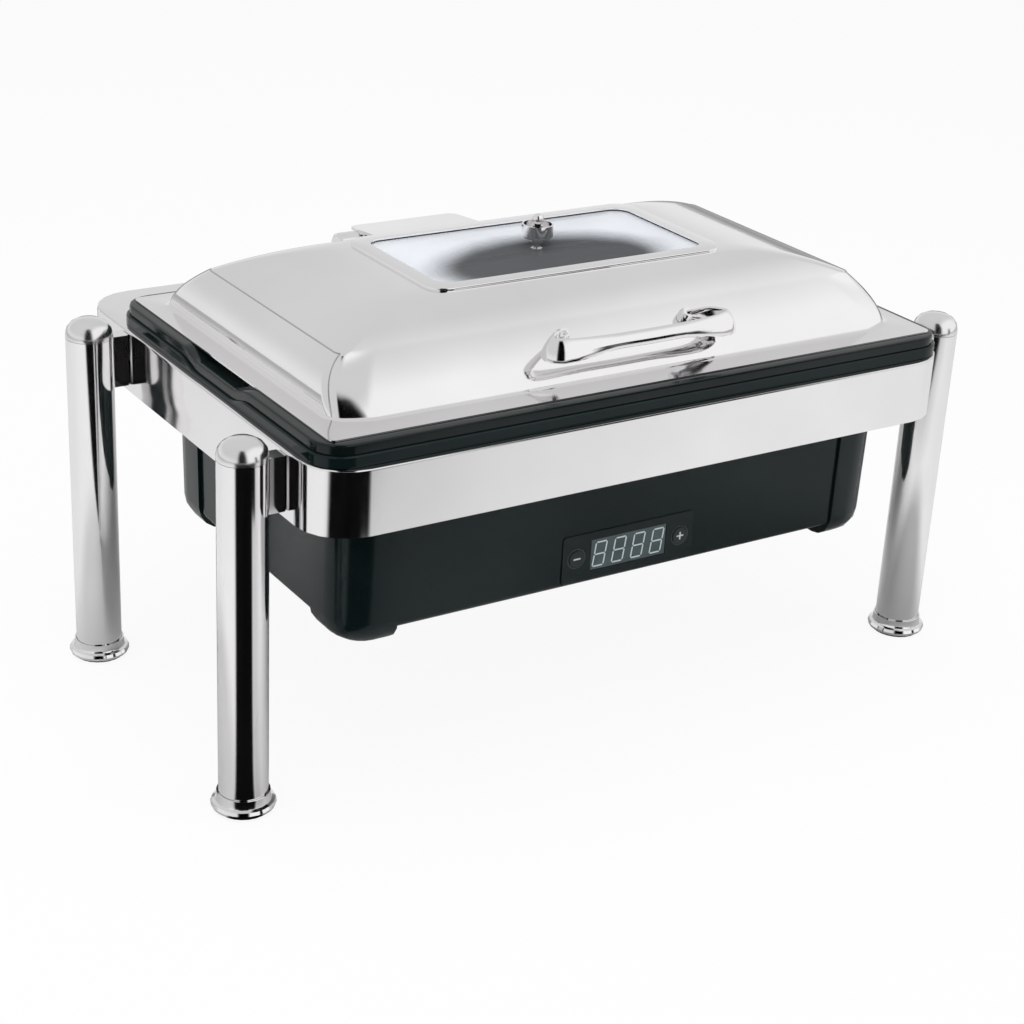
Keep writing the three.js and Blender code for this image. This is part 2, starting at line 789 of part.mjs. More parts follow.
function waterPan() {
  const lift = { lift: dip, stations: dipStations };
  const plain = { stations: dipStations };
  const rim = (inset, z, options) => ring(waterRimWidth - 2 * inset, waterRimDepth - 2 * inset,
    waterRimCorner - inset, z, options);
  const shelf = (grow, z, options) => ring(waterShelfWidth + 2 * grow, waterShelfDepth + 2 * grow,
    waterShelfCorner + grow, z, options);
  const outside = -housingWall - waterPanClear;
  const inside = outside - waterPanWall;
  const under = waterRimTop - waterRimThickness;
  const slope = waterRimEdgeRadius * (1 - Math.SQRT1_2);
  return skin([
    ...footRings(waterPanFloorRadius, waterFloorBottom,
      (grow, z) => housingRing('base', outside + grow, z, plain)),
    housingRing('waist', outside, housingWaist, plain),
    housingRing('mouth', outside, waterShelfTop - waterPanWall, plain),
    shelf(waterPanWall, waterShelfTop - waterPanWall, plain), shelf(waterPanWall, under, lift),
    rim(waterPanWall, under, lift), rim(waterPanWall, waterRimBottom, lift), rim(0, waterRimBottom, lift),
    rim(0, waterRimTop - waterRimEdgeRadius, lift), rim(slope, waterRimTop - slope, lift),
    rim(waterRimEdgeRadius, waterRimTop, lift),
    shelf(0, waterRimTop, lift), shelf(0, waterShelfTop, plain),
    housingRing('mouth', inside, waterShelfTop, plain), housingRing('waist', inside, housingWaist, plain),
    ...footRings(waterPanFloorRadius, waterFloorBottom + waterPanWall,
      (grow, z) => housingRing('base', inside + grow, z, plain)).reverse(),
  ]);
}

function foodPan() {
  const bottom = foodRimTop - foodPanDepth;
  const rim = (inset, z) => ring(
    foodRimWidth - 2 * inset, foodRimDepth - 2 * inset, foodRimCorner - inset, z);
  const mouth = (grow, z) => ring(
    foodMouthWidth + 2 * grow, foodMouthDepth + 2 * grow, foodMouthCorner + grow, z);
  return skin([
    ...footRings(foodFloorRadius, bottom, (grow, z) => mouth(grow - foodTaper, z)),
    mouth(0, foodRimTop - foodWall),
    rim(foodWall, foodRimTop - foodWall), rim(foodWall, foodRimTop - foodRimLip),
    rim(0, foodRimTop - foodRimLip), rim(0, foodRimTop - foodWall), rim(foodWall, foodRimTop),
    mouth(-foodWall, foodRimTop),
    ...footRings(foodFloorRadius, bottom + foodWall,
      (grow, z) => mouth(grow - foodTaper - foodWall, z)).reverse(),
  ]);
}

// Heating plate, with the sheathed rod clamped under it

const plateBottom = waterFloorBottom - fitGap - plateThickness;
const rodMiddle = plateBottom - fitGap - rodDiameter / 2;
const rodTailY = rodLoopDepth / 2 + rodTailLength;

function heatingPlate() {
  return slab(plateWidth, plateDepth, plateCorner, plateThickness, plateBottom);
}

// The rod runs in a U with both tails to the back
function heatingRod() {
  const x = rodLoopWidth / 2;
  const y = rodLoopDepth / 2;
  const path = new THREE.CurvePath();
  const at = (px, py) => new THREE.Vector3(px, py, rodMiddle);
  const bend = rodBendRadius;
  path.add(new THREE.LineCurve3(at(-x, rodTailY), at(-x, -y + bend)));
  path.add(new THREE.QuadraticBezierCurve3(at(-x, -y + bend), at(-x, -y), at(-x + bend, -y)));
  path.add(new THREE.LineCurve3(at(-x + bend, -y), at(x - bend, -y)));
  path.add(new THREE.QuadraticBezierCurve3(at(x - bend, -y), at(x, -y), at(x, -y + bend)));
  path.add(new THREE.LineCurve3(at(x, -y + bend), at(x, rodTailY)));
  const section = new THREE.Shape().absarc(0, 0, rodDiameter / 2, 0, Math.PI * 2);
  return new THREE.ExtrudeGeometry(section, {
    steps: rodSteps, curveSegments: leadSides / 2, extrudePath: path, bevelEnabled: false,
  });
}

// Strap across the rod, with feet that reach up to the floor of the water pan
function heaterClamp(y) {
  const top = rodMiddle - rodDiameter / 2 - fitGap;
  const foot = waterFloorBottom - fitGap;
  const end = clampLength / 2;
  const strap = polygon([
    [-end, foot], [-end, foot - clampThickness], [-end + clampFoot, foot - clampThickness],
    [-end + clampFoot, top - clampThickness], [end - clampFoot, top - clampThickness],
    [end - clampFoot, foot - clampThickness], [end, foot - clampThickness], [end, foot],
    [end - clampFoot - clampThickness, foot], [end - clampFoot - clampThickness, top],
    [-end + clampFoot + clampThickness, top], [-end + clampFoot + clampThickness, foot],
  ]);
  return extrude(strap, clampWidth).rotateX(Math.PI / 2).translate(0, y + clampWidth / 2, 0);
}

function thermalCutout() {
  const top = plateBottom - fitGap;
  const can = rod(cutoutDiameter, cutoutHeight, top - cutoutHeight);
  const tabs = [-1, 1].map((side) => block(tabWidth, tabThickness, tabLength + jointDepth,
    side * cutoutDiameter / 4, 0, top - cutoutHeight - tabLength));
  return joined(can, ...tabs);
}

// Power board on the hatch, behind the middle
const powerBoardBottom = housingFloor - fitGap - hatchThickness + hatchRise + fitGap + standoffHeight;

function powerBoard() {
  const board = block(powerBoardWidth, powerBoardDepth, boardThickness, powerBoardX, 0, powerBoardBottom);
  const posts = [[1, 1], [1, -1], [-1, 1], [-1, -1]].map(([sideX, sideY]) => rod(
    standoffDiameter, standoffHeight + boardThickness / 2, powerBoardBottom - standoffHeight, leadSides,
  ).translate(powerBoardX + sideX * (powerBoardWidth / 2 - standoffDiameter),
    sideY * (powerBoardDepth / 2 - standoffDiameter), 0));
  const top = powerBoardBottom + boardThickness / 2;
  const relay = block(relayWidth, relayDepth, relayHeight, powerBoardX + relayWidth, 0, top);
  const terminals = block(terminalWidth, terminalDepth, terminalHeight, powerBoardX,
    powerBoardDepth / 2 - terminalDepth / 2, top);
  return joined(board, ...posts, relay, terminals);
}

// Control panel. Its pieces lie behind each other from the face of the bezel backwards.

const bezelFace = housingFrontY(bezelCentreHeight) - bezelProud;
const bezelBack = bezelFace + bezelThickness;
const buttonFace = bezelFace - buttonProud;
const buttonBack = bezelBack + fitGap + buttonFlangeThickness;
const switchTip = buttonBack + buttonTravel + fitGap;
const controlBoardFace = switchTip + switchHeight;

function panelBezel() {
  const plate = uprightSlab(bezelWidth, bezelHeight, bezelCorner, bezelThickness, bezelFace);
  const opening = uprightSlab(displayWidth + 2 * fitGap, displayHeight + 2 * fitGap, fitGap,
    bezelThickness + 2 * cutOverrun, bezelFace - cutOverrun, 1);
  const holes = [-1, 1].map((side) => rodY(buttonDiameter + 2 * fitGap, bezelFace - cutOverrun,
    bezelBack + cutOverrun, side * buttonSpacing / 2, 0, tubeSteps));
  const posts = [[1, 1], [1, -1], [-1, 1], [-1, -1]].map(([sideX, sideZ]) => rodY(
    panelPostDiameter, bezelBack - bezelThickness / 2, controlBoardFace - fitGap,
    sideX * (controlBoardWidth / 2 - panelPostDiameter / 2),
    sideZ * (controlBoardHeight / 2 - panelPostDiameter / 2),
    leadSides,
  ));
  return cut(joined(plate, ...posts), opening, ...holes);
}

function displayPanel() {
  return uprightSlab(displayWidth, displayHeight, fitGap, displayThickness, bezelFace + displaySunk, 1);
}

function button() {
  return joined(
    rodY(buttonDiameter, buttonFace, buttonBack, 0, 0, tubeSteps),
    rodY(buttonDiameter + 2 * buttonFlangeWidth, bezelBack + fitGap, buttonBack, 0, 0, tubeSteps),
  );
}

function controlBoard() {
  const board = uprightSlab(controlBoardWidth, controlBoardHeight, fitGap, boardThickness,
    controlBoardFace, 1);
  const switches = [-1, 1].map((side) => block(switchSize, switchHeight + boardThickness / 2, switchSize,
    side * buttonSpacing / 2, (switchTip + controlBoardFace + boardThickness / 2) / 2, -switchSize / 2));
  const moduleFace = bezelFace + displaySunk + displayThickness + fitGap;
  const moduleDepth = controlBoardFace + boardThickness / 2 - moduleFace;
  const digits = block(displayWidth - moduleInset, moduleDepth, displayHeight - moduleInset, 0,
    moduleFace + moduleDepth / 2, -(displayHeight - moduleInset) / 2);
  return joined(board, ...switches, digits);
}

// Mains inlet, which faces the back
function powerInlet() {
  const wall = -housingFrontY(inletCentreHeight);
  const face = wall + fitGap + inletFlangeThickness;
  const flange = uprightSlab(inletFlangeWidth, inletFlangeHeight, inletCorner, inletFlangeThickness,
    wall + fitGap);
  const body = uprightSlab(inletWidth, inletHeight, inletCorner, inletDepth, face - inletDepth);
  const socket = uprightSlab(inletWidth - 2 * inletSocketWall, inletHeight - 2 * inletSocketWall,
    inletCorner - inletSocketWall, inletSocketDepth + cutOverrun, face - inletSocketDepth);
  const pins = [-1, 0, 1].map((place) => block(inletPinWidth, inletPinLength + jointDepth, inletPinHeight,
    place * inletPinPitch, face - inletSocketDepth + inletPinLength / 2,
    (place === 0 ? inletPinWidth : 0) - inletPinHeight / 2));
  return joined(cut(joined(flange, body), socket), ...pins);
}

// Lid pieces stand around the middle line of the pans

// A level of the dome's wall, from its foot at share 0 to the shoulder at share 1
function domeLevel(share) {
  const insetX = shoulderInsetX * share ** wallPowerX;
  const insetY = shoulderInsetY * share ** wallPowerY;
  return {
    width: domeWidth - 2 * insetX,
    depth: domeDepth - 2 * insetY,
    corner: THREE.MathUtils.lerp(domeCorner, shoulderCorner, share),
    back: topBack * share ** wallPowerY,
    z: flangeTop + shoulderRise * share,
    side: THREE.MathUtils.lerp(1, shoulderLeanShare, share),
  };
}

// A level of the roof above it, from the shoulder at share 0 to the foot of the frame at share 1
function roofLevel(share) {
  const left = 1 - share;
  return {
    width: shoulderWidth - 2 * roofRunX * (1 - left ** (1 / roofPowerX)),
    depth: shoulderDepth - 2 * roofRunY * (1 - left ** (1 / roofPowerY)),
    corner: THREE.MathUtils.lerp(shoulderCorner, frameCorner, share ** 2),
    back: topBack,
    z: THREE.MathUtils.lerp(flangeTop + shoulderRise, frameFoot, share),
    side: THREE.MathUtils.lerp(shoulderLeanShare, roofLeanShare, share),
  };
}

function lidRing(level, inside) {
  const side = inside ? lidSheet * level.side : 0;
  const down = inside ? lidSheet * Math.sqrt(1 - level.side * level.side) : 0;
  return ring(level.width - 2 * side, level.depth - 2 * side, level.corner - side, level.z - down,
    { centreY: level.back });
}

// Middle line of the handle's bosses: a point on the outside of the front wall, and the way out
const bossLevel = domeLevel(handleWallShare);
const bossFoot = new THREE.Vector3(handleBossSpacing / 2, bossLevel.back - bossLevel.depth / 2, bossLevel.z);
const bossTilt = Math.atan2(shoulderRise,
  wallPowerY * handleWallShare ** (wallPowerY - 1) * (shoulderInsetY + topBack));

// Stands a solid on the boss line. Its own +Z points out of the wall.
function onBoss(geometry, side) {
  return geometry.rotateX(bossTilt).translate(side * bossFoot.x, bossFoot.y, bossFoot.z);
}

function lidShell() {
  const levels = [];
  for (let i = 1; i <= wallSteps; i += 1) {
    levels.push(domeLevel(i / wallSteps));
  }
  for (let i = 1; i < roofSteps; i += 1) {
    levels.push(roofLevel(1 - (1 - i / roofSteps) ** roofPowerY));
  }
  const foot = (grow, z) => ring(domeWidth + 2 * grow, domeDepth + 2 * grow, domeCorner + grow, z);
  const frame = (inset, z) => ring(frameWidth - 2 * inset, frameDepth - 2 * inset, frameCorner - inset, z,
    { centreY: topBack });
  const opening = (z) => ring(windowWidth, windowDepth, windowCorner, z, { centreY: topBack });
  const flange = (z) => ring(lidWidth, lidDepth, lidFlangeCorner, z);
  const shell = skin([
    flange(lidBottom), flange(flangeTop), foot(coveReach, flangeTop), foot(coveRise, flangeTop + coveRise),
    ...levels.map((level) => lidRing(level, false)),
    frame(0, frameFoot), frame(frameEdgeRadius / 2, frameTop - frameEdgeRadius / 2),
    frame(frameEdgeRadius, frameTop),
    opening(frameTop), opening(frameTop - lidSheet),
    frame(lidSheet, frameTop - lidSheet), frame(lidSheet, frameFoot - lidSheet),
    ...levels.map((level) => lidRing(level, true)).reverse(),
    foot(coveRise - lidSheet, flangeTop), foot(coveReach - lidSheet, lidBottom),
  ], true);
  const holes = [-1, 1].map((side) => onBoss(
    rod(handleScrewDiameter + 2 * fitGap, 2 * (lidSheet + cutOverrun), -lidSheet - cutOverrun), side));
  return cut(shell, ...holes);
}

const gasketTop = frameTop - lidSheet - fitGap;
const glassEdgeTop = gasketTop - gasketThickness - fitGap;
const glassEdgeBottom = glassEdgeTop - glassThickness;
const glassWidth = windowWidth + 2 * glassMargin;
const glassDepth = windowDepth + 2 * glassMargin;
const glassCorner = windowCorner + glassMargin;
const glassRing = (inset, z) => ring(glassWidth - 2 * inset, glassDepth - 2 * inset, glassCorner - inset, z);

function windowGasket() {
  const inner = glassMargin - gasketInset;
  const bottom = gasketTop - gasketThickness;
  return skin([
    glassRing(gasketInset, bottom), glassRing(gasketInset, gasketTop), glassRing(inner, gasketTop),
    glassRing(inner, bottom),
  ], true);
}

// The glass is slightly domed inside its flat edge, with a hole for the knob
function windowGlass() {
  const surface = (edge) => {
    const rings = [];
    for (let i = 0; i <= crownSteps; i += 1) {
      const share = THREE.MathUtils.lerp(glassCentreShare, 1, i / crownSteps);
      const z = edge + glassCrown * (1 - share * share);
      rings.push(ring(windowWidth * share, windowDepth * share, windowCorner * share, z));
    }
    rings.push(glassRing(0, edge));
    return rings;
  };
  const pane = skin([...surface(glassEdgeBottom), ...surface(glassEdgeTop).reverse()]);
  return cut(pane, rod(knobStemDiameter + 2 * fitGap, glassThickness + glassCrown + 2 * cutOverrun,
    glassEdgeBottom - cutOverrun));
}

// Frame of angled sheet that holds the glass from below and reaches up beside it
function windowRetainer() {
  const flange = glassEdgeBottom - fitGap;
  const outside = -retainerSideClear - retainerSheet;
  return skin([
    glassRing(outside, flange - retainerSheet), glassRing(outside, gasketTop),
    glassRing(-retainerSideClear, gasketTop), glassRing(-retainerSideClear, flange),
    glassRing(retainerLip, flange), glassRing(retainerLip, flange - retainerSheet),
  ], true);
}

const crownTop = glassEdgeTop + glassCrown;
const crownBottom = glassEdgeBottom + glassCrown;
const knobSeat = crownTop + fitGap;
const cupFloor = knobSeat + knobHubHeight + knobCupWall;

function knobCup() {
  const bore = knobStemDiameter / 2 + fitGap;
  const rim = knobCupDiameter / 2;
  const under = knobSeat + knobHubHeight;
  return turned([
    [bore, knobSeat], [knobHubDiameter / 2, knobSeat], [knobHubDiameter / 2, under],
    [rim - knobCupBevel, under], [rim, under + knobCupBevel], [rim, under + knobCupHeight],
    [rim - knobCupWall, under + knobCupHeight], [rim - knobCupWall, cupFloor],
    [bore, cupFloor], [bore, knobSeat],
  ]);
}

function knobBall() {
  const centre = crownTop + knobBallRise;
  const radius = knobBallDiameter / 2;
  const stem = knobStemDiameter / 2;
  const collar = cupFloor + fitGap;
  const start = Math.asin(stem / radius);
  const ball = [];
  for (let i = 0; i <= ballSteps; i += 1) {
    const angle = THREE.MathUtils.lerp(start, Math.PI, i / ballSteps);
    ball.push([i === ballSteps ? 0 : radius * Math.sin(angle), centre - radius * Math.cos(angle)]);
  }
  const stemEnd = crownBottom - fitGap - knobNutHeight - jointDepth;
  return turned([
    [0, stemEnd], [stem, stemEnd],
    [stem, collar], [knobCollarDiameter / 2, collar], [knobCollarDiameter / 2, collar + knobCollarHeight],
    [stem, collar + knobCollarHeight], ...ball,
  ], smallSteps);
}

function knobNut() {
  const top = crownBottom - fitGap;
  const bottom = top - knobNutHeight;
  return cut(rod(knobNutAcross, knobNutHeight, bottom, hexSides),
    rod(knobStemDiameter + 2 * fitGap, knobNutHeight + 2 * cutOverrun, bottom - cutOverrun));
}

// The bow is one smooth curve through the bosses, the curls and the bar. Each point has its own section:
// a height, a thickness and how far its top leans in.
function lidHandle() {
  const end = new THREE.Vector3(0, -Math.sin(bossTilt), Math.cos(bossTilt)).multiplyScalar(handleBossLength)
    .add(bossFoot);
  const half = [
    [handleBossSpacing, 0, 0, handleEndHeight, handleEndThickness],
    [handleCurlSpacing, handleCurlDepth, handleTipDrop / 2, handleTipHeight, handleTipThickness],
    [handleLength, handleTipDepth, handleTipDrop, handleTipHeight, handleTipThickness],
    [handleCornerSpacing, handleCornerDepth, handleTipDrop, handleTipHeight, handleTipThickness],
    [handleBarSpacing, handleBarDepth, handleMidDrop, handleMidHeight, handleMidThickness],
  ];
  const middle = [0, handleMidDepth, handleMidDrop, handleMidHeight, handleMidThickness];
  const left = half.map(([spacing, ...rest]) => [-spacing, ...rest]);
  const all = [...left, middle, ...half.reverse()];
  const line = new THREE.CatmullRomCurve3(all.map(([spacing, depth, drop]) => (
    new THREE.Vector3(spacing / 2, end.y - depth, end.z - drop))));
  const sections = new THREE.CatmullRomCurve3(all.map(([, , , height, thickness]) => (
    new THREE.Vector3(height, thickness, 0))));
  const rings = [];
  for (let i = 0; i <= bowSteps; i += 1) {
    const place = line.getPoint(i / bowSteps);
    const section = sections.getPoint(i / bowSteps);
    const way = line.getTangent(i / bowSteps).setZ(0).normalize();
    const out = new THREE.Vector3(way.y, -way.x, 0);
    const up = new THREE.Vector3(0, 0, Math.cos(handleLean)).addScaledVector(out, -Math.sin(handleLean));
    const points = [];
    for (let k = 0; k < smallSteps; k += 1) {
      const turn = (k / smallSteps) * Math.PI * 2;
      points.push(place.clone().addScaledVector(up, (section.x / 2) * Math.cos(turn))
        .addScaledVector(out, (section.y / 2) * Math.sin(turn)));
    }
    rings.push(points);
  }
  const radius = handleBossDiameter / 2;
  const bosses = [-1, 1].map((side) => onBoss(turned([
    [0, fitGap], [radius, fitGap], [radius, handleBossLength],
    [radius * Math.SQRT1_2, handleBossLength + handleBossCrown], [0, handleBossLength + handleBossCrown],
  ], smallSteps), side));
  const holes = [-1, 1].map((side) => onBoss(
    rod(handleScrewDiameter + 2 * fitGap, handleScrewDepth + fitGap + jointDepth, -jointDepth), side,
  ));
  return cut(joined(skin(rings), ...bosses), ...holes);
}

function handleScrew(side) {
  const under = -lidSheet - fitGap;
  return onBoss(joined(
    rod(handleScrewDiameter, handleScrewDepth - under - jointDepth / 2, under - jointDepth / 2),
    rod(handleScrewHead, handleScrewHeadHeight, under - handleScrewHeadHeight),
  ), side);
}

// Hinge pieces stand around the hinge axis, which lies across the shelf behind the pans

const axisHeight = bandTop + hingeAxisAboveBand;
const cheekFace = hingeArmWidth / 2 - hingeCheekInset;
const earFace = cheekFace + hingeEarGap;

// A plate with its outline in the side view, given as [y, z], from x to the right
function sidePlate(points, x, thickness) {
  return extrude(polygon(points), thickness).rotateX(Math.PI / 2).rotateZ(Math.PI / 2).translate(x, 0, 0);
}

// Points on a circle round the axis, between two angles in the side view
function arcPoints(radius, from, to) {
  const points = [];
  for (let i = 0; i <= smallSteps; i += 1) {
    const angle = THREE.MathUtils.lerp(from, to, i / smallSteps);
    points.push([radius * Math.cos(angle), radius * Math.sin(angle)]);
  }
  return points;
}

function hingeBase() {
  const bottom = fitGap - hingeAxisAboveBand;
  const top = bottom + hingeBaseThickness;
  const plate = slab(2 * (earFace + hingeEarThickness), hingeBaseDepth, hingeEarThickness,
    hingeBaseThickness, bottom);
  const outlineOfEar = [[-hingeEarFoot / 2, top - jointDepth], [hingeEarFoot / 2, top - jointDepth],
    ...arcPoints(hingeEarRadius, 0, Math.PI)];
  const ears = [-earFace - hingeEarThickness, earFace].map((x) => (
    sidePlate(outlineOfEar, x, hingeEarThickness)));
  const bore = rodX(hingePinDiameter + 2 * fitGap, -hingeArmWidth, hingeArmWidth, 0, 0);
  return cut(joined(plate.translate(0, hingeBaseBack, 0), ...ears), bore);
}

// The pin ends in a polished round head on the left
function hingePin() {
  const headRight = -earFace - hingeEarThickness - fitGap;
  const radius = hingePinHeadDiameter / 2;
  const left = headRight - hingePinHeadLength;
  return turned([
    [0, left], [radius - hingePinHeadEdge, left], [radius, left + hingePinHeadEdge], [radius, headRight],
    [hingePinDiameter / 2, headRight], [hingePinDiameter / 2, earFace + hingeEarThickness + fitGap],
    [0, earFace + hingeEarThickness + fitGap],
  ]).rotateY(Math.PI / 2);
}

// The damper is a barrel round the pin, on a web that stands on the base
function hingeDamper() {
  const foot = fitGap - hingeAxisAboveBand + hingeBaseThickness + fitGap;
  const barrel = rodX(damperDiameter, -damperLength / 2, damperLength / 2, 0, 0, tubeSteps);
  const web = block(damperWebWidth, damperWebThickness, -foot, 0, 0, foot);
  const bore = rodX(hingePinDiameter + 2 * fitGap, -damperLength, damperLength, 0, 0);
  return cut(joined(barrel, web), bore);
}

// The arm is a folded sheet: a top that falls to the back, two cheeks and a foot on the lid's flange
function hingeArm() {
  const underTop = (y) => hingeArmRearRise + (hingeArmBehind - y) * hingeArmSlope - hingeArmThickness;
  const front = -hingeArmForward;
  const back = hingeArmBehind;
  const top = sidePlate([
    [front, underTop(front)], [back, underTop(back)], [back, underTop(back) + hingeArmThickness],
    [front, underTop(front) + hingeArmThickness],
  ], -hingeArmWidth / 2, hingeArmWidth);
  const rounding = slab(hingeArmWidth, 2 * (back - front), hingeArmCorner, hingeArmWidth, -hingeArmWidth / 2)
    .translate(0, back - (back - front), 0);
  const footBottom = flangeTop + fitGap - axisHeight;
  const wallBack = (share) => {
    const level = domeLevel(share);
    const outside = level.back + level.depth / 2 + hingeCheekClear - pansForward;
    return [outside - hingeAxisBack, level.z - axisHeight];
  };
  const lowAngle = Math.PI + Math.asin(-footBottom / hingeCheekRadius);
  const footFront = wallBack(0)[0] + coveReach;
  const cheek = [
    [footFront, footBottom], ...arcPoints(hingeCheekRadius, lowAngle, Math.PI * 2),
    [hingeCheekRadius, underTop(hingeCheekRadius) + jointDepth],
    [wallBack(cheekHighShare)[0], underTop(wallBack(cheekHighShare)[0]) + jointDepth],
    wallBack(cheekHighShare), wallBack(cheekLowShare),
  ];
  const cheeks = [-cheekFace, cheekFace - hingeArmThickness].map((x) => (
    sidePlate(cheek, x, hingeArmThickness)));
  const foot = block(2 * cheekFace - hingeArmThickness, hingeFootDepth, hingeArmThickness, 0,
    footFront + hingeFootDepth / 2, footBottom);
  const bore = rodX(hingePinDiameter + 2 * fitGap, -hingeArmWidth, hingeArmWidth, 0, 0);
  return cut(joined(common(top, rounding), ...cheeks, foot), bore);
}

// Leads run from piece to piece with their ends just off them
const terminalBack = powerBoardDepth / 2 + fitGap;
const terminalMiddle = powerBoardBottom + boardThickness + terminalHeight / 2;
const inletBack = -housingFrontY(inletCentreHeight) + inletFlangeThickness - inletDepth - fitGap;

function mainsLead() {
  return lead([
    [inletCentreX, inletBack, inletCentreHeight],
    [inletCentreX, inletBack - leadSpread, inletCentreHeight],
    [inletCentreX / 2, inletBack - leadSlack, terminalMiddle + leadSpread / 2],
    [powerBoardX / 2, terminalBack + leadSlack, terminalMiddle],
    [powerBoardX + leadSpread, terminalBack + leadSpread, terminalMiddle],
    [powerBoardX + leadSpread, terminalBack, terminalMiddle],
  ]);
}

function heaterLead(side) {
  const x = side * (rodLoopWidth / 2);
  const end = powerBoardX - (side > 0 ? 0 : leadSpread);
  return lead([
    [x, rodTailY + 2 * fitGap, rodMiddle],
    [x, rodTailY + leadSpread, rodMiddle],
    [(x + end) / 2, rodTailY + leadSlack, (rodMiddle + terminalMiddle) / 2],
    [end, terminalBack + leadSpread, terminalMiddle],
    [end, terminalBack, terminalMiddle],
  ]);
}

function displayLead() {
  const start = controlBoardFace + boardThickness + fitGap;
  const edge = powerBoardX + powerBoardWidth / 2 + fitGap;
  return lead([
    [0, start, bezelCentreHeight],
    [0, start + leadSpread, bezelCentreHeight],
    [0, (start - leadSlack) / 2, terminalMiddle],
    [edge + leadSlack, 0, powerBoardBottom + boardThickness],
    [edge, 0, powerBoardBottom + boardThickness / 2],
  ]);
}

// Assembly

object.add(part('frame_band', frameBand(), polishedSteel));
[['front_left', -legX, legYs[0]], ['front_right', legX, legYs[0]], ['back_left', -legX, legYs[1]],
  ['back_right', legX, legYs[1]]].forEach(([name, x, y]) => addLeg(name, x, y));

const pans = new THREE.Group();
pans.position.y = -pansForward;
pans.add(part('base_housing', baseHousing(), blackGloss));
pans.add(part('base_hatch', baseHatch(), satinSteel));
pans.add(part('water_pan', waterPan(), blackGloss));
pans.add(part('food_pan', foodPan(), satinSteel));
pans.add(part('heating_plate', heatingPlate(), castAluminium));
pans.add(part('heating_rod', heatingRod(), satinSteel));
pans.add(part('heater_clamp_front', heaterClamp(-clampSpacing / 2), satinSteel));
pans.add(part('heater_clamp_back', heaterClamp(clampSpacing / 2), satinSteel));
pans.add(part('thermal_cutout', thermalCutout(), blackMatt));
pans.add(part('power_board', powerBoard(), boardGreen));
pans.add(part('power_inlet', powerInlet().translate(inletCentreX, 0, inletCentreHeight), blackMatt));
pans.add(part('mains_lead', mainsLead(), leadGrey));
pans.add(part('heater_lead_left', heaterLead(-1), leadGrey));
pans.add(part('heater_lead_right', heaterLead(1), leadGrey));
pans.add(part('display_lead', displayLead(), leadGrey));
object.add(pans);

const panel = new THREE.Group();
panel.position.z = bezelCentreHeight;
panel.add(part('panel_bezel', panelBezel(), blackMatt));
panel.add(part('display_window', displayPanel(), displayGrey));
panel.add(part('control_board', controlBoard(), boardGreen));
[['minus_button', -1], ['plus_button', 1]].forEach(([name, side]) => {
  const key = part(name, button(), blackMatt);
  key.position.x = side * (buttonSpacing / 2);
  panel.add(key);
});
pans.add(panel);

const lid = new THREE.Group();
lid.position.y = -pansForward;
lid.add(part('lid_shell', lidShell(), polishedSteel));
lid.add(part('lid_handle', lidHandle(), polishedSteel));
lid.add(part('handle_screw_left', handleScrew(-1), satinSteel));
lid.add(part('handle_screw_right', handleScrew(1), satinSteel));
object.add(lid);

const window = new THREE.Group();
window.position.y = topBack;
window.add(part('window_gasket', windowGasket(), blackRubber));
window.add(part('window_glass', windowGlass(), clearGlass));
window.add(part('window_retainer', windowRetainer(), satinSteel));
lid.add(window);

const knob = new THREE.Group();
knob.position.y = topBack;
knob.add(part('knob_cup', knobCup(), polishedSteel));
knob.add(part('knob_ball', knobBall(), polishedSteel));
knob.add(part('knob_nut', knobNut(), satinSteel));
lid.add(knob);

const hinge = new THREE.Group();
hinge.position.set(0, hingeAxisBack, axisHeight);
hinge.add(part('hinge_base', hingeBase(), polishedSteel));
hinge.add(part('hinge_pin', hingePin(), polishedSteel));
hinge.add(part('hinge_damper', hingeDamper(), satinSteel));
hinge.add(part('hinge_arm', hingeArm(), polishedSteel));
object.add(hinge);

export default object;
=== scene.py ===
"""Looks of the electric chafing dish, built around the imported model. Metres, +Z up."""

import json
import math

import bmesh
import bpy
from mathutils import Matrix, Vector

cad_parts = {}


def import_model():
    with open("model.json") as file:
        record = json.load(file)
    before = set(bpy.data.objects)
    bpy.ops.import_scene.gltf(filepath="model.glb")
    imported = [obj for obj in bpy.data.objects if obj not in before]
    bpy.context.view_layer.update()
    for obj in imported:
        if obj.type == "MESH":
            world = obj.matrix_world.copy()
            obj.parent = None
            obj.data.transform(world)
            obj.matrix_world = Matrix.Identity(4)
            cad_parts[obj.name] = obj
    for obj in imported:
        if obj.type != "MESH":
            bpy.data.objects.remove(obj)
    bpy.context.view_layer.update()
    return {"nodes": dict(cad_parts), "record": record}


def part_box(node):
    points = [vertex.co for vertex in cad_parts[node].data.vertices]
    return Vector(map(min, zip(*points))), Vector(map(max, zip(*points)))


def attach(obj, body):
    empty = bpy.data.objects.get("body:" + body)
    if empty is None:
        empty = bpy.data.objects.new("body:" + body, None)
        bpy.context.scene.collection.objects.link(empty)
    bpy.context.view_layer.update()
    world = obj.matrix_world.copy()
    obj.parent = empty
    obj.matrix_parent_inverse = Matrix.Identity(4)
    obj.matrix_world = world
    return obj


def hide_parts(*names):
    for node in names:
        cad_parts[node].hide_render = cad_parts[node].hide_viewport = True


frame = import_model()
NODES = frame["nodes"]
MM = 0.001

# Camera, in millimetres and degrees, and its image in pixels, worked out from the photograph's
# straight edges
CAMERA_PLACE = (-934.3, -1420.4, 871.5)
CAMERA_YAW = -33.529
CAMERA_PITCH = -23.97
CAMERA_ROLL = 3.017
IMAGE_SIDE = 1024
FOCAL_PIXELS = 2149.5
SENSOR = 36

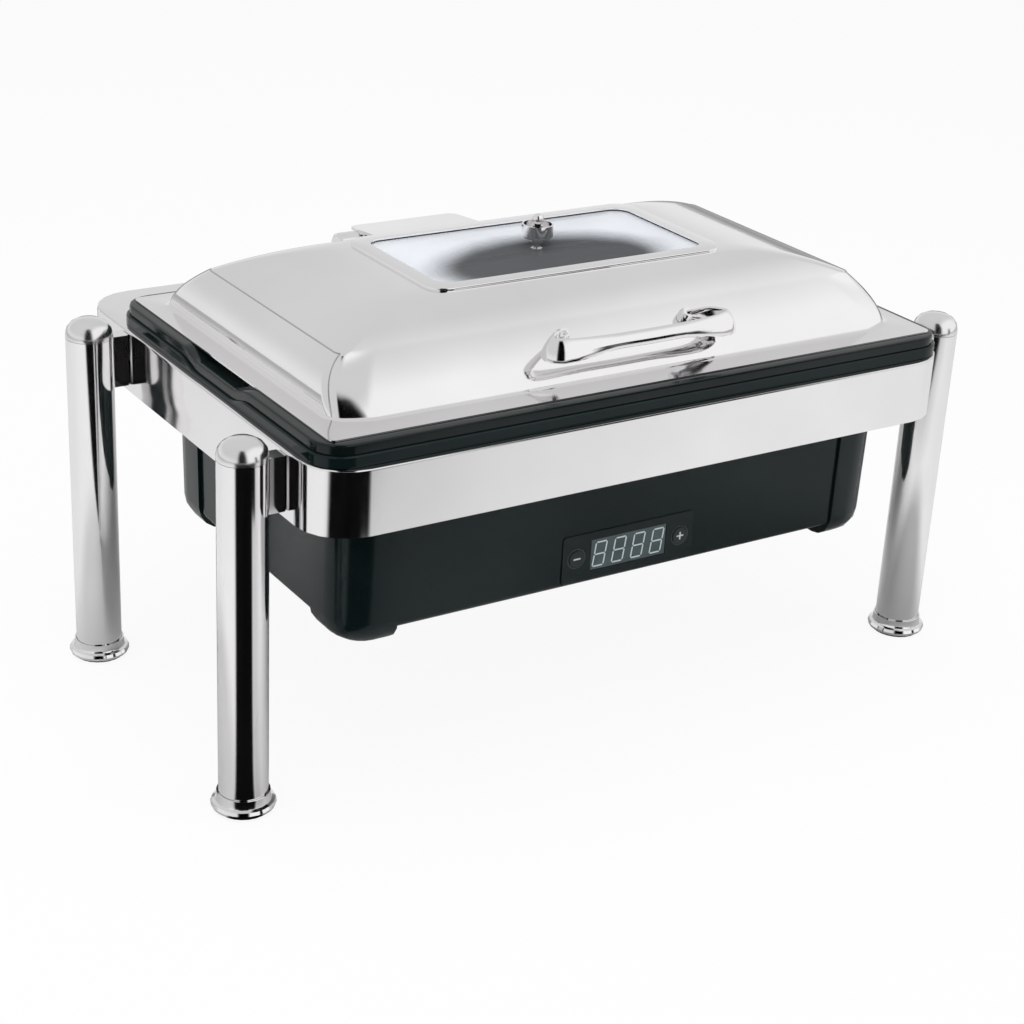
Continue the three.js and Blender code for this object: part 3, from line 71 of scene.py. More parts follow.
# Floor, in metres. Its own light is a share of white.
FLOOR_SIZE = 40
FLOOR_GAP = 0.0005
FLOOR_GREY = 0.68
FLOOR_CLOUD = 0.01
FLOOR_OWN_LIGHT = 0.92
FLOOR_MIRRORED_LIGHT = 0.04

# World. Bearings run in degrees from +X towards +Y, and elevations in degrees from the level.
# SKY_LEVEL lights the object and SKY_SEEN is the backdrop. Polished surfaces see white on the
# bright side. Away from it they see SKY_LOW below DIM_FROM and SKY_HIGH above DIM_TO.
SKY_LEVEL = 0.62
SKY_SEEN = 0.955
SKY_LOW = 0.86
SKY_HIGH = 0.7
DIM_FROM = 4
DIM_TO = 24
BRIGHT_BEARING = -50
BRIGHT_FROM = 0.25
BRIGHT_TO = 0.6

# The dark sector in front, and the narrow slit that the handle mirrors
DARK_BEARING = -115.5
DARK_HALF = 18.5
DARK_TOP = 70
DARK_EDGE = 5
SLIT_BEARING = -55
SLIT_HALF = 5
SLIT_EDGE = 1.5
SLIT_TOP = 18
SLIT_START = 2.3
SLIT_END = 19

# Dark sheets on the floor, distances in metres: the flag round the front left foot, with its
# wider part far out, its grey part beside it and its grey part behind it, painted shade under
# the object, and the soft patches of painted shade in front of two other feet
SHEET_BLACK = (0.003,) * 3
SHEET_TINTS = ((0.002,) * 3, (0.004,) * 3)
FLAG_LENGTH = 4
FLAG_FROM = -147
FLAG_TO = -74
FLAG_EDGE = 6
FAR_FROM = 0.54
FAR_TO = 0.57
FAR_SECTOR_TO = -60
HAZE_TO = -48
HAZE_EDGE = 14
HAZE = 0.25
# The flag's grey part behind the foot lies under the object: painted shade that polished surfaces
# mirror.
BEHIND_BEARING = 54
BEHIND_HALF = 26
BEHIND_SHADE = 0.35
SHADE_BEARING = -120
SHADE_AWAY = 0.17
SHADE_FROM = 0.12
SHADE_TO = 0.27
SHADES = (("leg_foot_front_right", 0.5), ("leg_foot_back_left", 0.25))

# Lamps: name, place, side in metres and power in watts
LAMP_TARGET = (0, 0, 0.2)
LAMPS = (
    ("soft_top", (-0.3, -0.2, 2.2), 2.2, 38),
    ("soft_left", (-2.2, -1.2, 1.3), 1.6, 16),
    ("soft_right", (1.9, -1.7, 1.2), 1.4, 12),
)

# Keeps a direction straight up or down from dividing by nothing
LEAST_RUN = 1e-5

# Window glass: the clear spot in its whitish film, which is painted reflection of the studio's
# white, in metres, its soft edge as shares of the spot's size, and how dense the film is
CLEAR_SPOT = (-0.008, -0.062, 0)
CLEAR_SIZE = (0.104, 0.058, 1)
CLEAR_EDGE = (0.78, 1.22)
CLEAR_WAVER = 0.1
CLEAR_ALPHA = 0.05
PAINTED_REFLECTION_ALPHA = 0.68

# Tint of what black plastic mirrors
PLASTIC_SHEEN = (0.87, 0.98, 1, 1)

# Shading of the CAD nodes: bends over CREASE degrees stay sharp
CREASE = 32
FACE_WEIGHT = 50
JOIN_DISTANCE = 1e-6

# Lid, in millimetres. Pairs run across its width and its depth.
LID_SHEET = 1.2
LID_CORNER = 6
DOME_INSET = (18.5, 24)
DOME_CORNER = 9
FOOT_TURN = 12
TURN_RUN = 30
TURN_POWER = 1.25
TURN_FADE = 4
COVE_REACH = 5
COVE_FLATNESS = 0.5
COVE_STEPS = 4
SHOULDER_INSET = (21, 36)
SHOULDER_CORNER = 8
SHOULDER_RISE = 37
ROOF_RUN = (101.5, 38.5)
WALL_POWER = (2.2, 1.37)
ROOF_POWER = (2, 1.39)
SHOULDER_LEAN = 0.6
ROOF_LEAN = 0.35
LEVELS = 26
FRAME_CORNER = 18
FRAME_RISE = 60.2
FRAME_STEP = 2.4
FRAME_EDGE = 1
FRAME_ROUND = ((0.08, 0.38), (0.3, 0.71), (0.62, 0.92), (1, 1))
TOP_BACK = 2.6
WINDOW_MARGIN = (13, 12)
WINDOW_CORNER = 14
CORNER_STEPS = 12
SIDE_STEPS = 20
END_PLACES = (0.4, 3, 6, 9, 12, 15, 18, 21, 24, 26, 28, 30, 33)
CREASE_RADIUS = 0.6
CREASE_SIDES = 6

# Display and key marks, in metres
DIGITS = 4
DIGIT_WIDTH = 10.3 * MM
DIGIT_HEIGHT = 20.4 * MM
DIGIT_PITCH = 18.4 * MM
DIGIT_LEAN = 0.14
SEGMENT_WIDTH = 1.15 * MM
SEGMENT_GAP = 0.45 * MM
SEGMENTS = (
    ("top_left", "top_right"),
    ("left", "right"),
    ("low_left", "low_right"),
    ("top_left", "left"),
    ("left", "low_left"),
    ("top_right", "right"),
    ("right", "low_right"),
)
MARK_PROUD = 0.15 * MM
MARK_DEPTH = 0.25 * MM
MARK_LENGTH = 6.5 * MM
MARK_WIDTH = 1.2 * MM
RING_WIDTH = 0.4 * MM
RING_INSET = 0.25 * MM
RING_PROUD = 0.12 * MM
RING_STEPS = 48


def add_node(tree, kind, values=None, **settings):
    """A new node. A value that is a socket gets linked, and any other is set."""
    made = tree.nodes.new(kind)
    for key, value in settings.items():
        setattr(made, key, value)
    for key, value in (values or {}).items():
        if isinstance(value, bpy.types.NodeSocket):
            tree.links.new(value, made.inputs[key])
        else:
            made.inputs[key].default_value = value
    return made


class Finish:
    """A node material on the Principled shader, with short calls for its parts."""

    def __init__(self, name, color, roughness, **sockets):
        self.material = bpy.data.materials.new(name)
        self.material.use_nodes = True
        self.tree = self.material.node_tree
        self.shader = self.tree.nodes["Principled BSDF"]
        self.shader.inputs["Base Color"].default_value = (*color, 1)
        self.shader.inputs["Roughness"].default_value = roughness
        for socket, value in sockets.items():
            self.shader.inputs[socket.replace("_", " ")].default_value = value
        self.place = self.node("ShaderNodeTexCoord").outputs["Object"]
        self.height = None

    def node(self, kind, values=None, **settings):
        return add_node(self.tree, kind, values, **settings)

    def noise(self, scale, detail=3, roughness=0.5, stretch=(1, 1, 1)):
        """Noise in the object's place. stretch scales it by axis."""
        place = self.node("ShaderNodeMapping", {"Vector": self.place, "Scale": stretch})
        values = {
            "Vector": place.outputs["Vector"],
            "Scale": scale,
            "Detail": detail,
            "Roughness": roughness,
        }
        return self.node("ShaderNodeTexNoise", values).outputs["Fac"]

    def span(self, factor, low, high):
        """factor from 0 to 1, moved to low to high."""
        values = {"Value": factor, "To Min": low, "To Max": high}
        return self.node("ShaderNodeMapRange", values).outputs["Result"]

    def tint(self, factor, dark, light, low=0.3, high=0.7):
        """The base colour runs from dark to light as factor runs from low to high."""
        ramp = self.node("ShaderNodeValToRGB", {"Fac": factor})
        ends = ((low, dark), (high, light))
        for element, (position, color) in zip(ramp.color_ramp.elements, ends):
            element.position = position
            element.color = (*color, 1)
        self.tree.links.new(ramp.outputs["Color"], self.shader.inputs["Base Color"])

    def rough(self, factor, low, high):
        self.tree.links.new(self.span(factor, low, high), self.shader.inputs["Roughness"])

    def bump(self, factor, strength, distance):
        """Each call adds a finer layer to the surface."""
        values = {"Height": factor, "Strength": strength, "Distance": distance}
        if self.height:
            values["Normal"] = self.height
        self.height = self.node("ShaderNodeBump", values).outputs["Normal"]
        self.tree.links.new(self.height, self.shader.inputs["Normal"])

    def blend(self, share, below, above):
        """The surface becomes a blend of two shaders, from below at 0 to above at 1."""
        shaders = {0: share, 1: below.outputs[0], 2: above.outputs[0]}
        blended = self.node("ShaderNodeMixShader", shaders)
        surface = self.tree.nodes["Material Output"].inputs["Surface"]
        self.tree.links.new(blended.outputs[0], surface)


class Field:
    """Sums on the parts of a direction or place, as nodes of one tree."""

    def __init__(self, tree, vector):
        self.tree = tree
        parts = add_node(tree, "ShaderNodeSeparateXYZ", {0: vector})
        self.x, self.y, self.z = (parts.outputs[key] for key in "XYZ")

    def sum(self, operation, *values):
        values = dict(enumerate(values))
        return add_node(self.tree, "ShaderNodeMath", values, operation=operation).outputs[0]

    def times(self, a, b):
        return self.sum("MULTIPLY", a, b)

    def rest(self, value):
        """What value leaves of 1."""
        return self.sum("SUBTRACT", 1, value)

    def step(self, value, low, high):
        """0 below low, 1 above high, and smooth between them."""
        values = {"Value": value, "From Min": low, "From Max": high}
        made = add_node(
            self.tree, "ShaderNodeMapRange", values, interpolation_type="SMOOTHSTEP"
        )
        return made.outputs["Result"]

    def run(self):
        """The level part's length."""
        squares = self.sum("ADD", self.times(self.x, self.x), self.times(self.y, self.y))
        return self.sum("SQRT", squares)

    def along(self, bearing):
        """The level part's length along a bearing in degrees."""
        angle = math.radians(bearing)
        east = self.times(self.x, math.cos(angle))
        north = self.times(self.y, math.sin(angle))
        return self.sum("ADD", east, north)

    def sector(self, middle, half, edge):
        """1 inside the bearings middle - half to middle + half, 0 outside them."""
        facing = self.sum(
            "DIVIDE", self.along(middle), self.sum("MAXIMUM", self.run(), LEAST_RUN)
        )
        outer = math.cos(math.radians(half + edge))
        inner = math.cos(math.radians(half - edge))
        return self.step(facing, outer, inner)

    def between(self, first, last, edge):
        """1 from one bearing to the other, 0 outside them."""
        return self.sector((first + last) / 2, (last - first) / 2, edge)

    def elevation(self):
        return self.sum("ARCTAN2", self.z, self.run())


def polished_steel(name, wave):
    """Mirror-polished sheet: soft waves from the press and a faint haze of fine wipe marks."""
    f = Finish(name, (0.88, 0.87, 0.875), 0.08, Metallic=1)
    f.tint(f.noise(9, 4), (0.85, 0.838, 0.845), (0.9, 0.893, 0.896))
    f.rough(f.noise(160, 6, 0.7, (1, 0.25, 1)), 0.045, 0.13)
    f.bump(f.noise(14, 1), wave, 0.002)
    return f.material


def soft_steel(name, base, low, high):
    """Steel that mirrors softly: the buffed leg caps, and the pressed lines of the lid, darker as
    painted shade along its creases.
    """
    f = Finish(name, base, low, Metallic=1)
    cloud = f.noise(60, 4)
    f.tint(cloud, [part * 0.94 for part in base], base)
    f.rough(cloud, low, high)
    f.bump(f.noise(900, 2), 0.02, 0.0002)
    return f.material


def satin_steel(name):
    """Brushed sheet or tube: fine lines along X."""
    f = Finish(name, (0.62, 0.62, 0.625), 0.28, Metallic=1)
    lines = f.noise(900, 5, 0.6, (0.02, 1, 1))
    f.tint(lines, (0.55, 0.55, 0.555), (0.7, 0.7, 0.705))
    f.rough(lines, 0.2, 0.36)
    f.bump(lines, 0.06, 0.0003)
    return f.material


def pan_steel(name):
    """Drawn sheet with a soft, light finish inside the food pan."""
    f = Finish(name, (0.45, 0.455, 0.47), 0.32, Metallic=0.8)
    lines = f.noise(700, 5, 0.6, (0.05, 1, 1))
    f.tint(lines, (0.42, 0.425, 0.44), (0.49, 0.495, 0.51))
    f.rough(lines, 0.28, 0.36)
    f.bump(lines, 0.01, 0.0002)
    return f.material


def cast_aluminium(name):
    f = Finish(name, (0.5, 0.505, 0.51), 0.5, Metallic=1)
    grain = f.noise(420, 5, 0.7)
    f.tint(grain, (0.38, 0.385, 0.39), (0.56, 0.565, 0.57))
    f.rough(grain, 0.4, 0.65)
    f.bump(grain, 0.3, 0.0008)
    return f.material


def black_plastic(name, base, top, roughness, grain_scale, grain, shine):
    """Moulded plastic: even colour with faint flow clouds, and a fine skin."""
    f = Finish(name, base, roughness[0], Specular_IOR_Level=shine, Specular_Tint=PLASTIC_SHEEN)
    f.tint(f.noise(12, 3), base, top)
    skin = f.noise(grain_scale, 4, 0.6)
    f.rough(skin, *roughness)
    f.bump(f.noise(18, 1), 0.04, 0.002)
    f.bump(skin, grain, 0.0002)
    return f.material


def enamel(name):
    f = Finish(name, (0.003, 0.006, 0.006), 0.12, Specular_IOR_Level=0.3)
    peel = f.noise(260, 2)
    f.tint(f.noise(15, 3), (0.002, 0.005, 0.005), (0.006, 0.01, 0.0095))
    f.rough(peel, 0.1, 0.2)
    f.bump(peel, 0.05, 0.0005)
    return f.material


def rubber(name):
    f = Finish(name, (0.02, 0.02, 0.02), 0.85, Specular_IOR_Level=0.3)
    grain = f.noise(1400, 4, 0.7)
    f.tint(grain, (0.012, 0.012, 0.012), (0.03, 0.03, 0.03))
    f.rough(grain, 0.75, 0.95)
    f.bump(grain, 0.25, 0.0003)
    return f.material


def display_cover(name):
    f = Finish(name, (0.06, 0.083, 0.088), 0.1, Specular_IOR_Level=0.35)
    haze = f.noise(60, 3)
    f.tint(haze, (0.05, 0.07, 0.074), (0.074, 0.1, 0.106))
    f.rough(haze, 0.08, 0.18)
    f.bump(f.noise(500, 3), 0.02, 0.0002)
    return f.material


def segment_white(name):
    f = Finish(name, (0.5, 0.57, 0.58), 0.4)
    glow = f.noise(900, 2)
    f.tint(glow, (0.42, 0.49, 0.5), (0.6, 0.66, 0.67))
    f.rough(glow, 0.3, 0.5)
    f.bump(glow, 0.05, 0.0001)
    return f.material


def glass_with_painted_reflection(name):
    """Window glass with a whitish film, painted reflection of the studio's white, that leaves a
    clear spot in front of its middle.
    """
    f = Finish(name, (0.86, 0.895, 0.95), 0.06, IOR=1.45, Specular_IOR_Level=0.5)
    smear = f.noise(25, 4)
    f.tint(smear, (0.765, 0.8, 0.855), (0.82, 0.85, 0.895))
    f.rough(smear, 0.03, 0.1)
    spot = {"Vector": f.place, "Location": CLEAR_SPOT, "Scale": CLEAR_SIZE}
    place = f.node("ShaderNodeMapping", spot, vector_type="TEXTURE").outputs["Vector"]
    field = Field(f.tree, place)
    waver = f.span(f.noise(18, 3), -CLEAR_WAVER, CLEAR_WAVER)
    # The whitish film is painted reflection, and it is left out in the clear spot.
    film = field.step(field.sum("ADD", field.run(), waver), *CLEAR_EDGE)
    f.tree.links.new(f.span(film, CLEAR_ALPHA, PAINTED_REFLECTION_ALPHA), f.shader.inputs["Alpha"])
    f.bump(f.noise(7, 1), 0.02, 0.001)
    return f.material


def circuit_board(name):
    f = Finish(name, (0.02, 0.1, 0.045), 0.35)
    values = {"Vector": f.place, "Scale": 260, "Mortar Size": 0.06}
    tracks = f.node("ShaderNodeTexBrick", values).outputs["Fac"]
    f.tint(tracks, (0.015, 0.085, 0.035), (0.05, 0.2, 0.09), 0.2, 0.8)
    f.bump(tracks, 0.1, 0.0002)
    f.rough(f.noise(300, 3), 0.3, 0.5)
    return f.material


def silicone(name):
    f = Finish(name, (0.14, 0.145, 0.15), 0.6)
    grain = f.noise(700, 4, 0.6)
    f.tint(grain, (0.1, 0.105, 0.11), (0.19, 0.195, 0.2))
    f.rough(grain, 0.5, 0.7)
    f.bump(grain, 0.15, 0.0003)
    return f.material


SHEET = polished_steel("polished_sheet", 0.09)
CAP = soft_steel("buffed_steel", (0.86, 0.855, 0.86), 0.16, 0.24)
# Darker steel for the pressed lines: painted shade along the lid's creases.
CREASE_SHADE_STEEL = soft_steel("pressed_line_painted_shade", (0.5, 0.49, 0.49), 0.3, 0.4)
PAN = pan_steel("pan_steel")
PANEL = black_plastic(
    "panel_black",
    base=(0.004, 0.0075, 0.008),
    top=(0.0065, 0.0105, 0.011),
    roughness=(0.18, 0.3),
    grain_scale=1100,
    grain=0.05,
    shine=0.26,
)
GLOSS = black_plastic(
    "black_gloss",
    base=(0.0025, 0.006, 0.0063),
    top=(0.005, 0.01, 0.0102),
    roughness=(0.1, 0.2),
    grain_scale=700,
    grain=0.03,
    shine=0.235,
)
MATT = black_plastic(
    "black_matt",
    base=(0.012, 0.014, 0.014),
    top=(0.02, 0.022, 0.022),
    roughness=(0.45, 0.65),
    grain_scale=1500,
    grain=0.2,
    shine=0.4,
)
COVER = display_cover("display_grey")
SEGMENT = segment_white("display_segments")

SLOT_FINISH = {
    "polished_steel": polished_steel("polished_steel", 0.05),
    "satin_steel": satin_steel("satin_steel"),
    "cast_aluminium": cast_aluminium("cast_aluminium"),
    "black_gloss": GLOSS,
    "black_enamel": enamel("black_enamel"),
    "black_matt": MATT,
    "display_grey": COVER,
    "black_rubber": rubber("black_rubber"),
    "clear_glass": glass_with_painted_reflection("clear_glass"),
    "board_green": circuit_board("board_green"),
    "lead_grey": silicone("lead_grey"),
}
NODE_FINISH = {
    "lid_shell": SHEET,
    "frame_band": SHEET,
    "food_pan": PAN,
    "panel_bezel": PANEL,
    **{f"leg_cap_{end}_{side}": CAP for end in ("front", "back") for side in ("left", "right")},
}


def joined_shading():
    """Joins the corners that a glTF file splits, and keeps only bends over CREASE sharp."""
    group = bpy.data.node_groups.new("joined_shading", "GeometryNodeTree")
    for side in ("INPUT", "OUTPUT"):
        group.interface.new_socket("Geometry", in_out=side, socket_type="NodeSocketGeometry")
    entry = add_node(group, "NodeGroupInput")
    joined = add_node(
        group,
        "GeometryNodeMergeByDistance",
        {0: entry.outputs[0], "Distance": JOIN_DISTANCE},
    )
    bare = add_node(
        group,
        "GeometryNodeRemoveAttribute",
        {0: joined.outputs[0], "Name": "custom_normal"},
    )
    smooth = add_node(
        group,
        "GeometryNodeSetShadeSmooth",
        {0: bare.outputs[0], "Shade Smooth": True},
    )
    bend = add_node(group, "GeometryNodeInputMeshEdgeAngle")
    over = add_node(
        group,
        "FunctionNodeCompare",
        {"A": bend.outputs["Unsigned Angle"], "B": math.radians(CREASE)},
        data_type="FLOAT",
        operation="GREATER_THAN",
    )
    sharp = add_node(
        group,
        "GeometryNodeSetShadeSmooth",
        {0: smooth.outputs[0], "Selection": over.outputs["Result"], "Shade Smooth": False},
        domain="EDGE",
    )
    add_node(group, "NodeGroupOutput", {0: sharp.outputs[0]})
    return group


def dress():
    """Gives each CAD node its finish and its even shading."""
    slots = {part["node"]: part["material_slot"] for part in frame["record"]["subparts"]}
    joined = joined_shading()
    for name, node in NODES.items():
        node.data.materials.clear()
        node.data.materials.append(NODE_FINISH.get(name, SLOT_FINISH[slots[name]]))
        node.modifiers.new("joined_shading", "NODES").node_group = joined
        even = node.modifiers.new("even_shading", "WEIGHTED_NORMAL")
        even.mode = "FACE_AREA_WITH_ANGLE"
        even.keep_sharp = True
        even.weight = FACE_WEIGHT


def bridge(shape, here, after):
    """Faces between two closed rings of corners."""
    for k in range(len(here)):
        j = (k + 1) % len(here)
        shape.faces.new((here[k], here[j], after[j], after[k]))


def piece_of(name, shape, finish):
    """Makes the bmesh an object of the scene, with its faces turned outwards."""
    bmesh.ops.recalc_face_normals(shape, faces=shape.faces)
    mesh = bpy.data.meshes.new(name)
    shape.to_mesh(mesh)
    shape.free()
    mesh.materials.append(finish)
    piece = bpy.data.objects.new(name, mesh)
    bpy.context.scene.collection.objects.link(piece)
    return piece


def mix(a, b, share):
    return a + (b - a) * share


def side_places(length):
    """Distances along a side of a ring: close near its ends, and even between them."""
    near = END_PLACES[-1]
    even = [near + (length - 2 * near) * i / SIDE_STEPS for i in range(1, SIDE_STEPS)]
    return [*END_PLACES, *even, *(length - place for place in reversed(END_PLACES))]


def ring(width, depth, corner, height, back=0, pull=0):
    """Points round a rounded rectangle. back moves it, and pull draws its front's ends back."""
    x = width / 2 - corner
    y = depth / 2 - corner
    points = []
    for sign_x, sign_y, turn, along, length in (
        (1, -1, -0.5, (0, 1), 2 * y),
        (1, 1, 0, (-1, 0), 2 * x),
        (-1, 1, 0.5, (0, -1), 2 * y),
        (-1, -1, 1, (1, 0), 2 * x),
    ):
        for i in range(CORNER_STEPS + 1):
            angle = math.pi * (turn + i / CORNER_STEPS / 2)
            px = sign_x * x + corner * math.cos(angle)
            py = sign_y * y + corner * math.sin(angle)
            points.append((px, py))
        for place in side_places(length):
            points.append((px + along[0] * place, py + along[1] * place))
    bent = []
    for px, py in points:
        near_end = max(0, 1 - (width / 2 - abs(px)) / TURN_RUN) ** TURN_POWER
        in_front = max(0, -2 * py / depth)
        bent.append((px, py + back + pull * near_end * in_front, height))
    return bent


def lid_levels(width, depth, foot):
    """Rings of the dome's wall and roof: width, depth, corner, height, back, pull and lean."""
    levels = []
    for i in range(1, LEVELS + 1):
        share = i / LEVELS
        size = [
            side - 2 * inset * share**power
            for side, inset, power in zip((width, depth), SHOULDER_INSET, WALL_POWER)
        ]
        levels.append((
            *size,
            mix(DOME_CORNER, SHOULDER_CORNER, share),
            foot + SHOULDER_RISE * share,
            TOP_BACK * share ** WALL_POWER[1],
            FOOT_TURN * (1 - share**TURN_FADE),
            mix(1, SHOULDER_LEAN, share),
        ))
    shoulder = levels[-1][:2]
    top = foot + FRAME_RISE - FRAME_STEP
    for i in range(1, LEVELS):
        share = 1 - (1 - i / LEVELS) ** ROOF_POWER[1]
        size = [
            side - 2 * run * (1 - (1 - share) ** (1 / power))
            for side, run, power in zip(shoulder, ROOF_RUN, ROOF_POWER)
        ]
        levels.append((
            *size,
            mix(SHOULDER_CORNER, FRAME_CORNER, share**2),
            mix(foot + SHOULDER_RISE, top, share),
            TOP_BACK,
            0,
            mix(SHOULDER_LEAN, ROOF_LEAN, share),
        ))
    return levels


def pressed_line(name, path):
    """The thin pressed line that frames an end wall of the lid, as a fine bead along the path, in
    darker steel that is painted shade of the crease.
    """
    shape = bmesh.new()
    rings = []
    for i, place in enumerate(path):
        way = (path[min(i + 1, len(path) - 1)] - path[max(i - 1, 0)]).normalized()
        side = way.cross(Vector((0, 0, 1))).normalized()
        up = side.cross(way)
        turns = [2 * math.pi * k / CREASE_SIDES for k in range(CREASE_SIDES)]
        rings.append([
            shape.verts.new(
                place + CREASE_RADIUS * MM * (side * math.cos(turn) + up * math.sin(turn))
            )
            for turn in turns
        ])
    for here, after in zip(rings, rings[1:]):
        bridge(shape, here, after)
    shape.faces.new(rings[0][::-1])
    shape.faces.new(rings[-1])
    piece = piece_of(name, shape, CREASE_SHADE_STEEL)
    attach(piece, "lid")


def lid_skin():
    """The pressed lid, finer than its solid: flange, cove, dome, roof and window frame."""
    low, high = (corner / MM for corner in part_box("lid_shell"))
    width = high.x - low.x
    depth = high.y - low.y
    middle = ((high.x + low.x) / 2, (high.y + low.y) / 2, 0)
    foot = low.z + LID_SHEET
    top = foot + FRAME_RISE
    dome = (width - 2 * DOME_INSET[0], depth - 2 * DOME_INSET[1])
    levels = lid_levels(*dome, foot)
    shoulder = levels[LEVELS - 1][:2]
    frame_size = [side - 2 * run for side, run in zip(shoulder, ROOF_RUN)]
    opening = [side - 2 * margin for side, margin in zip(frame_size, WINDOW_MARGIN)]

    def placed(points):
        """The points of a ring in metres, round the lid's middle."""
        return [Vector([(p + m) * MM for p, m in zip(point, middle)]) for point in points]

    def cove(thick):
        rings = []
        for i in range(COVE_STEPS):
            turn = math.pi / 2 * i / COVE_STEPS
            grow = COVE_REACH * (1 - math.sin(turn)) - thick
            rise = COVE_REACH * (1 - math.cos(turn)) * COVE_FLATNESS - thick
            sides = (side + 2 * grow for side in dome)
            rings.append(ring(*sides, DOME_CORNER + grow, foot + rise, 0, FOOT_TURN))
        return rings

    def dome_rings(thick):
        rings = []
        for w, d, corner, height, back, pull, lean in levels:
            inset = thick * lean
            drop = thick * math.sqrt(1 - lean * lean)
            rings.append(
                ring(w - 2 * inset, d - 2 * inset, corner - inset, height - drop, back, pull)
            )
        return rings

    def frame_ring(inset, drop):
        sides = (side - 2 * inset for side in frame_size)
        return ring(*sides, FRAME_CORNER - inset, top - drop, TOP_BACK)

    outside = dome_rings(0)
    rings = [
        ring(width, depth, LID_CORNER, low.z),
        ring(width, depth, LID_CORNER, foot),
        *cove(0),
        *outside,
        frame_ring(0, FRAME_STEP),
        frame_ring(0, FRAME_EDGE),
        *(frame_ring(FRAME_EDGE * share, FRAME_EDGE * (1 - rise)) for share, rise in FRAME_ROUND),
        ring(*opening, WINDOW_CORNER, top, TOP_BACK),
        ring(*opening, WINDOW_CORNER, top - LID_SHEET, TOP_BACK),
        frame_ring(LID_SHEET, LID_SHEET),
        frame_ring(LID_SHEET, FRAME_STEP + LID_SHEET),
        *dome_rings(LID_SHEET)[::-1],
        *cove(LID_SHEET)[::-1],
    ]
    shape = bmesh.new()
    turned = [[shape.verts.new(place) for place in placed(points)] for points in rings]
    for here, above in zip(turned, turned[1:] + turned[:1]):
        bridge(shape, here, above)
    piece = piece_of("lid_skin", shape, SHEET)
    for face in piece.data.polygons:
        face.use_smooth = True
    piece.data.set_sharp_from_angle(angle=math.radians(CREASE))
    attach(piece, "lid")

    wall = [placed(points) for points in outside[:LEVELS]]
    side = len(wall[0]) // 4
    right = CORNER_STEPS // 2
    for name, first in (("lid_crease_right", right), ("lid_crease_left", right + 2 * side)):
        last = first + side
        rise = [level[first] for level in wall]
        fall = [level[last] for level in reversed(wall)]
        pressed_line(name, rise + wall[-1][first + 1:last] + fall)
    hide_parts("lid_shell")


def flat_piece(name, outlines, front, finish, body):
    """Upright plates with the given (x, z) outlines, their front faces at y = front."""
    shape = bmesh.new()
    for outline in outlines:
        near = [shape.verts.new((x, front, z)) for x, z in outline]
        far = [shape.verts.new((x, front + MARK_DEPTH, z)) for x, z in outline]
        shape.faces.new(near)
        shape.faces.new(far[::-1])
        bridge(shape, far, near)
    piece = piece_of(name, shape, finish)
    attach(piece, body)


def bar(start, end):
    """A segment with pointed ends between two corners of a digit."""
    a = Vector(start)
    b = Vector(end)
    along = (b - a).normalized()
    across = Vector((-along.y, along.x)) * (SEGMENT_WIDTH / 2)
    tip_a = a + along * SEGMENT_GAP
    tip_b = b - along * SEGMENT_GAP
    step = along * (SEGMENT_WIDTH / 2)
    return [
        tip_a,
        tip_a + step - across,
        tip_b - step - across,
        tip_b,
        tip_b - step + across,
        tip_a + step + across,
    ]


def digits():
    """The segments of the display's digits, all of them on."""
    low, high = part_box("display_window")
    middle = (low + high) / 2
    x = DIGIT_WIDTH / 2
    z = DIGIT_HEIGHT / 2
    corners = {
        "top_left": (-x, z),
        "top_right": (x, z),
        "left": (-x, 0),
        "right": (x, 0),
        "low_left": (-x, -z),
        "low_right": (x, -z),
    }
    outlines = []
    for i in range(DIGITS):
        centre = middle.x + (i - (DIGITS - 1) / 2) * DIGIT_PITCH
        for a, b in SEGMENTS:
            shape = bar(corners[a], corners[b])
            outlines.append([(centre + p.x + p.y * DIGIT_LEAN, middle.z + p.y) for p in shape])
    front = low.y - MARK_PROUD
    flat_piece("display_digits", outlines, front, SEGMENT, "stand")


def sign_outline(plus):
    """A plus, or else a minus."""
    a = MARK_LENGTH / 2
    b = MARK_WIDTH / 2
    if not plus:
        return [(-a, -b), (a, -b), (a, b), (-a, b)]
    return [
        (-b, -a), (b, -a), (b, -b), (a, -b), (a, b), (b, b),
        (b, a), (-b, a), (-b, b), (-a, b), (-a, -b), (-b, -b),
    ]


def key_marks(node, body, plus):
    """The sign on a key, and the ring round it, which stays on the panel."""
    low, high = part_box(node)
    middle = (low + high) / 2
    sign = [(middle.x + x, middle.z + z) for x, z in sign_outline(plus)]
    flat_piece(node + "_mark", [sign], low.y - MARK_PROUD, SEGMENT, body)
    outer = (high.x - low.x) / 2 - RING_INSET
    inner = outer - RING_WIDTH
    pieces = []
    for i in range(RING_STEPS):
        start, end = (2 * math.pi * (i + k) / RING_STEPS for k in (0, 1))
        pieces.append([
            (middle.x + radius * math.cos(turn), middle.z + radius * math.sin(turn))
            for radius, turn in ((outer, start), (outer, end), (inner, end), (inner, start))
        ])
    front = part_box("panel_bezel")[0].y - RING_PROUD
    flat_piece(node + "_ring", pieces, front, COVER, "stand")


def camera():
    yaw, pitch, roll = (math.radians(v) for v in (CAMERA_YAW, CAMERA_PITCH, CAMERA_ROLL))
    ahead = Vector((
        math.sin(-yaw) * math.cos(pitch), math.cos(yaw) * math.cos(pitch), math.sin(pitch)
    ))
    level = Vector((math.cos(-yaw), -math.sin(-yaw), 0))
    up = level.cross(ahead)
    right = level * math.cos(roll) + up * math.sin(roll)
    top = up * math.cos(roll) - level * math.sin(roll)
    made = bpy.data.objects.new("camera", bpy.data.cameras.new("camera"))
    made.data.sensor_width = SENSOR
    made.data.lens = FOCAL_PIXELS * SENSOR / IMAGE_SIDE
    turn = Matrix((right, top, -ahead)).transposed().to_4x4()
    made.matrix_world = Matrix.Translation(Vector(CAMERA_PLACE) * MM) @ turn
    bpy.context.scene.collection.objects.link(made)
    bpy.context.scene.camera = made


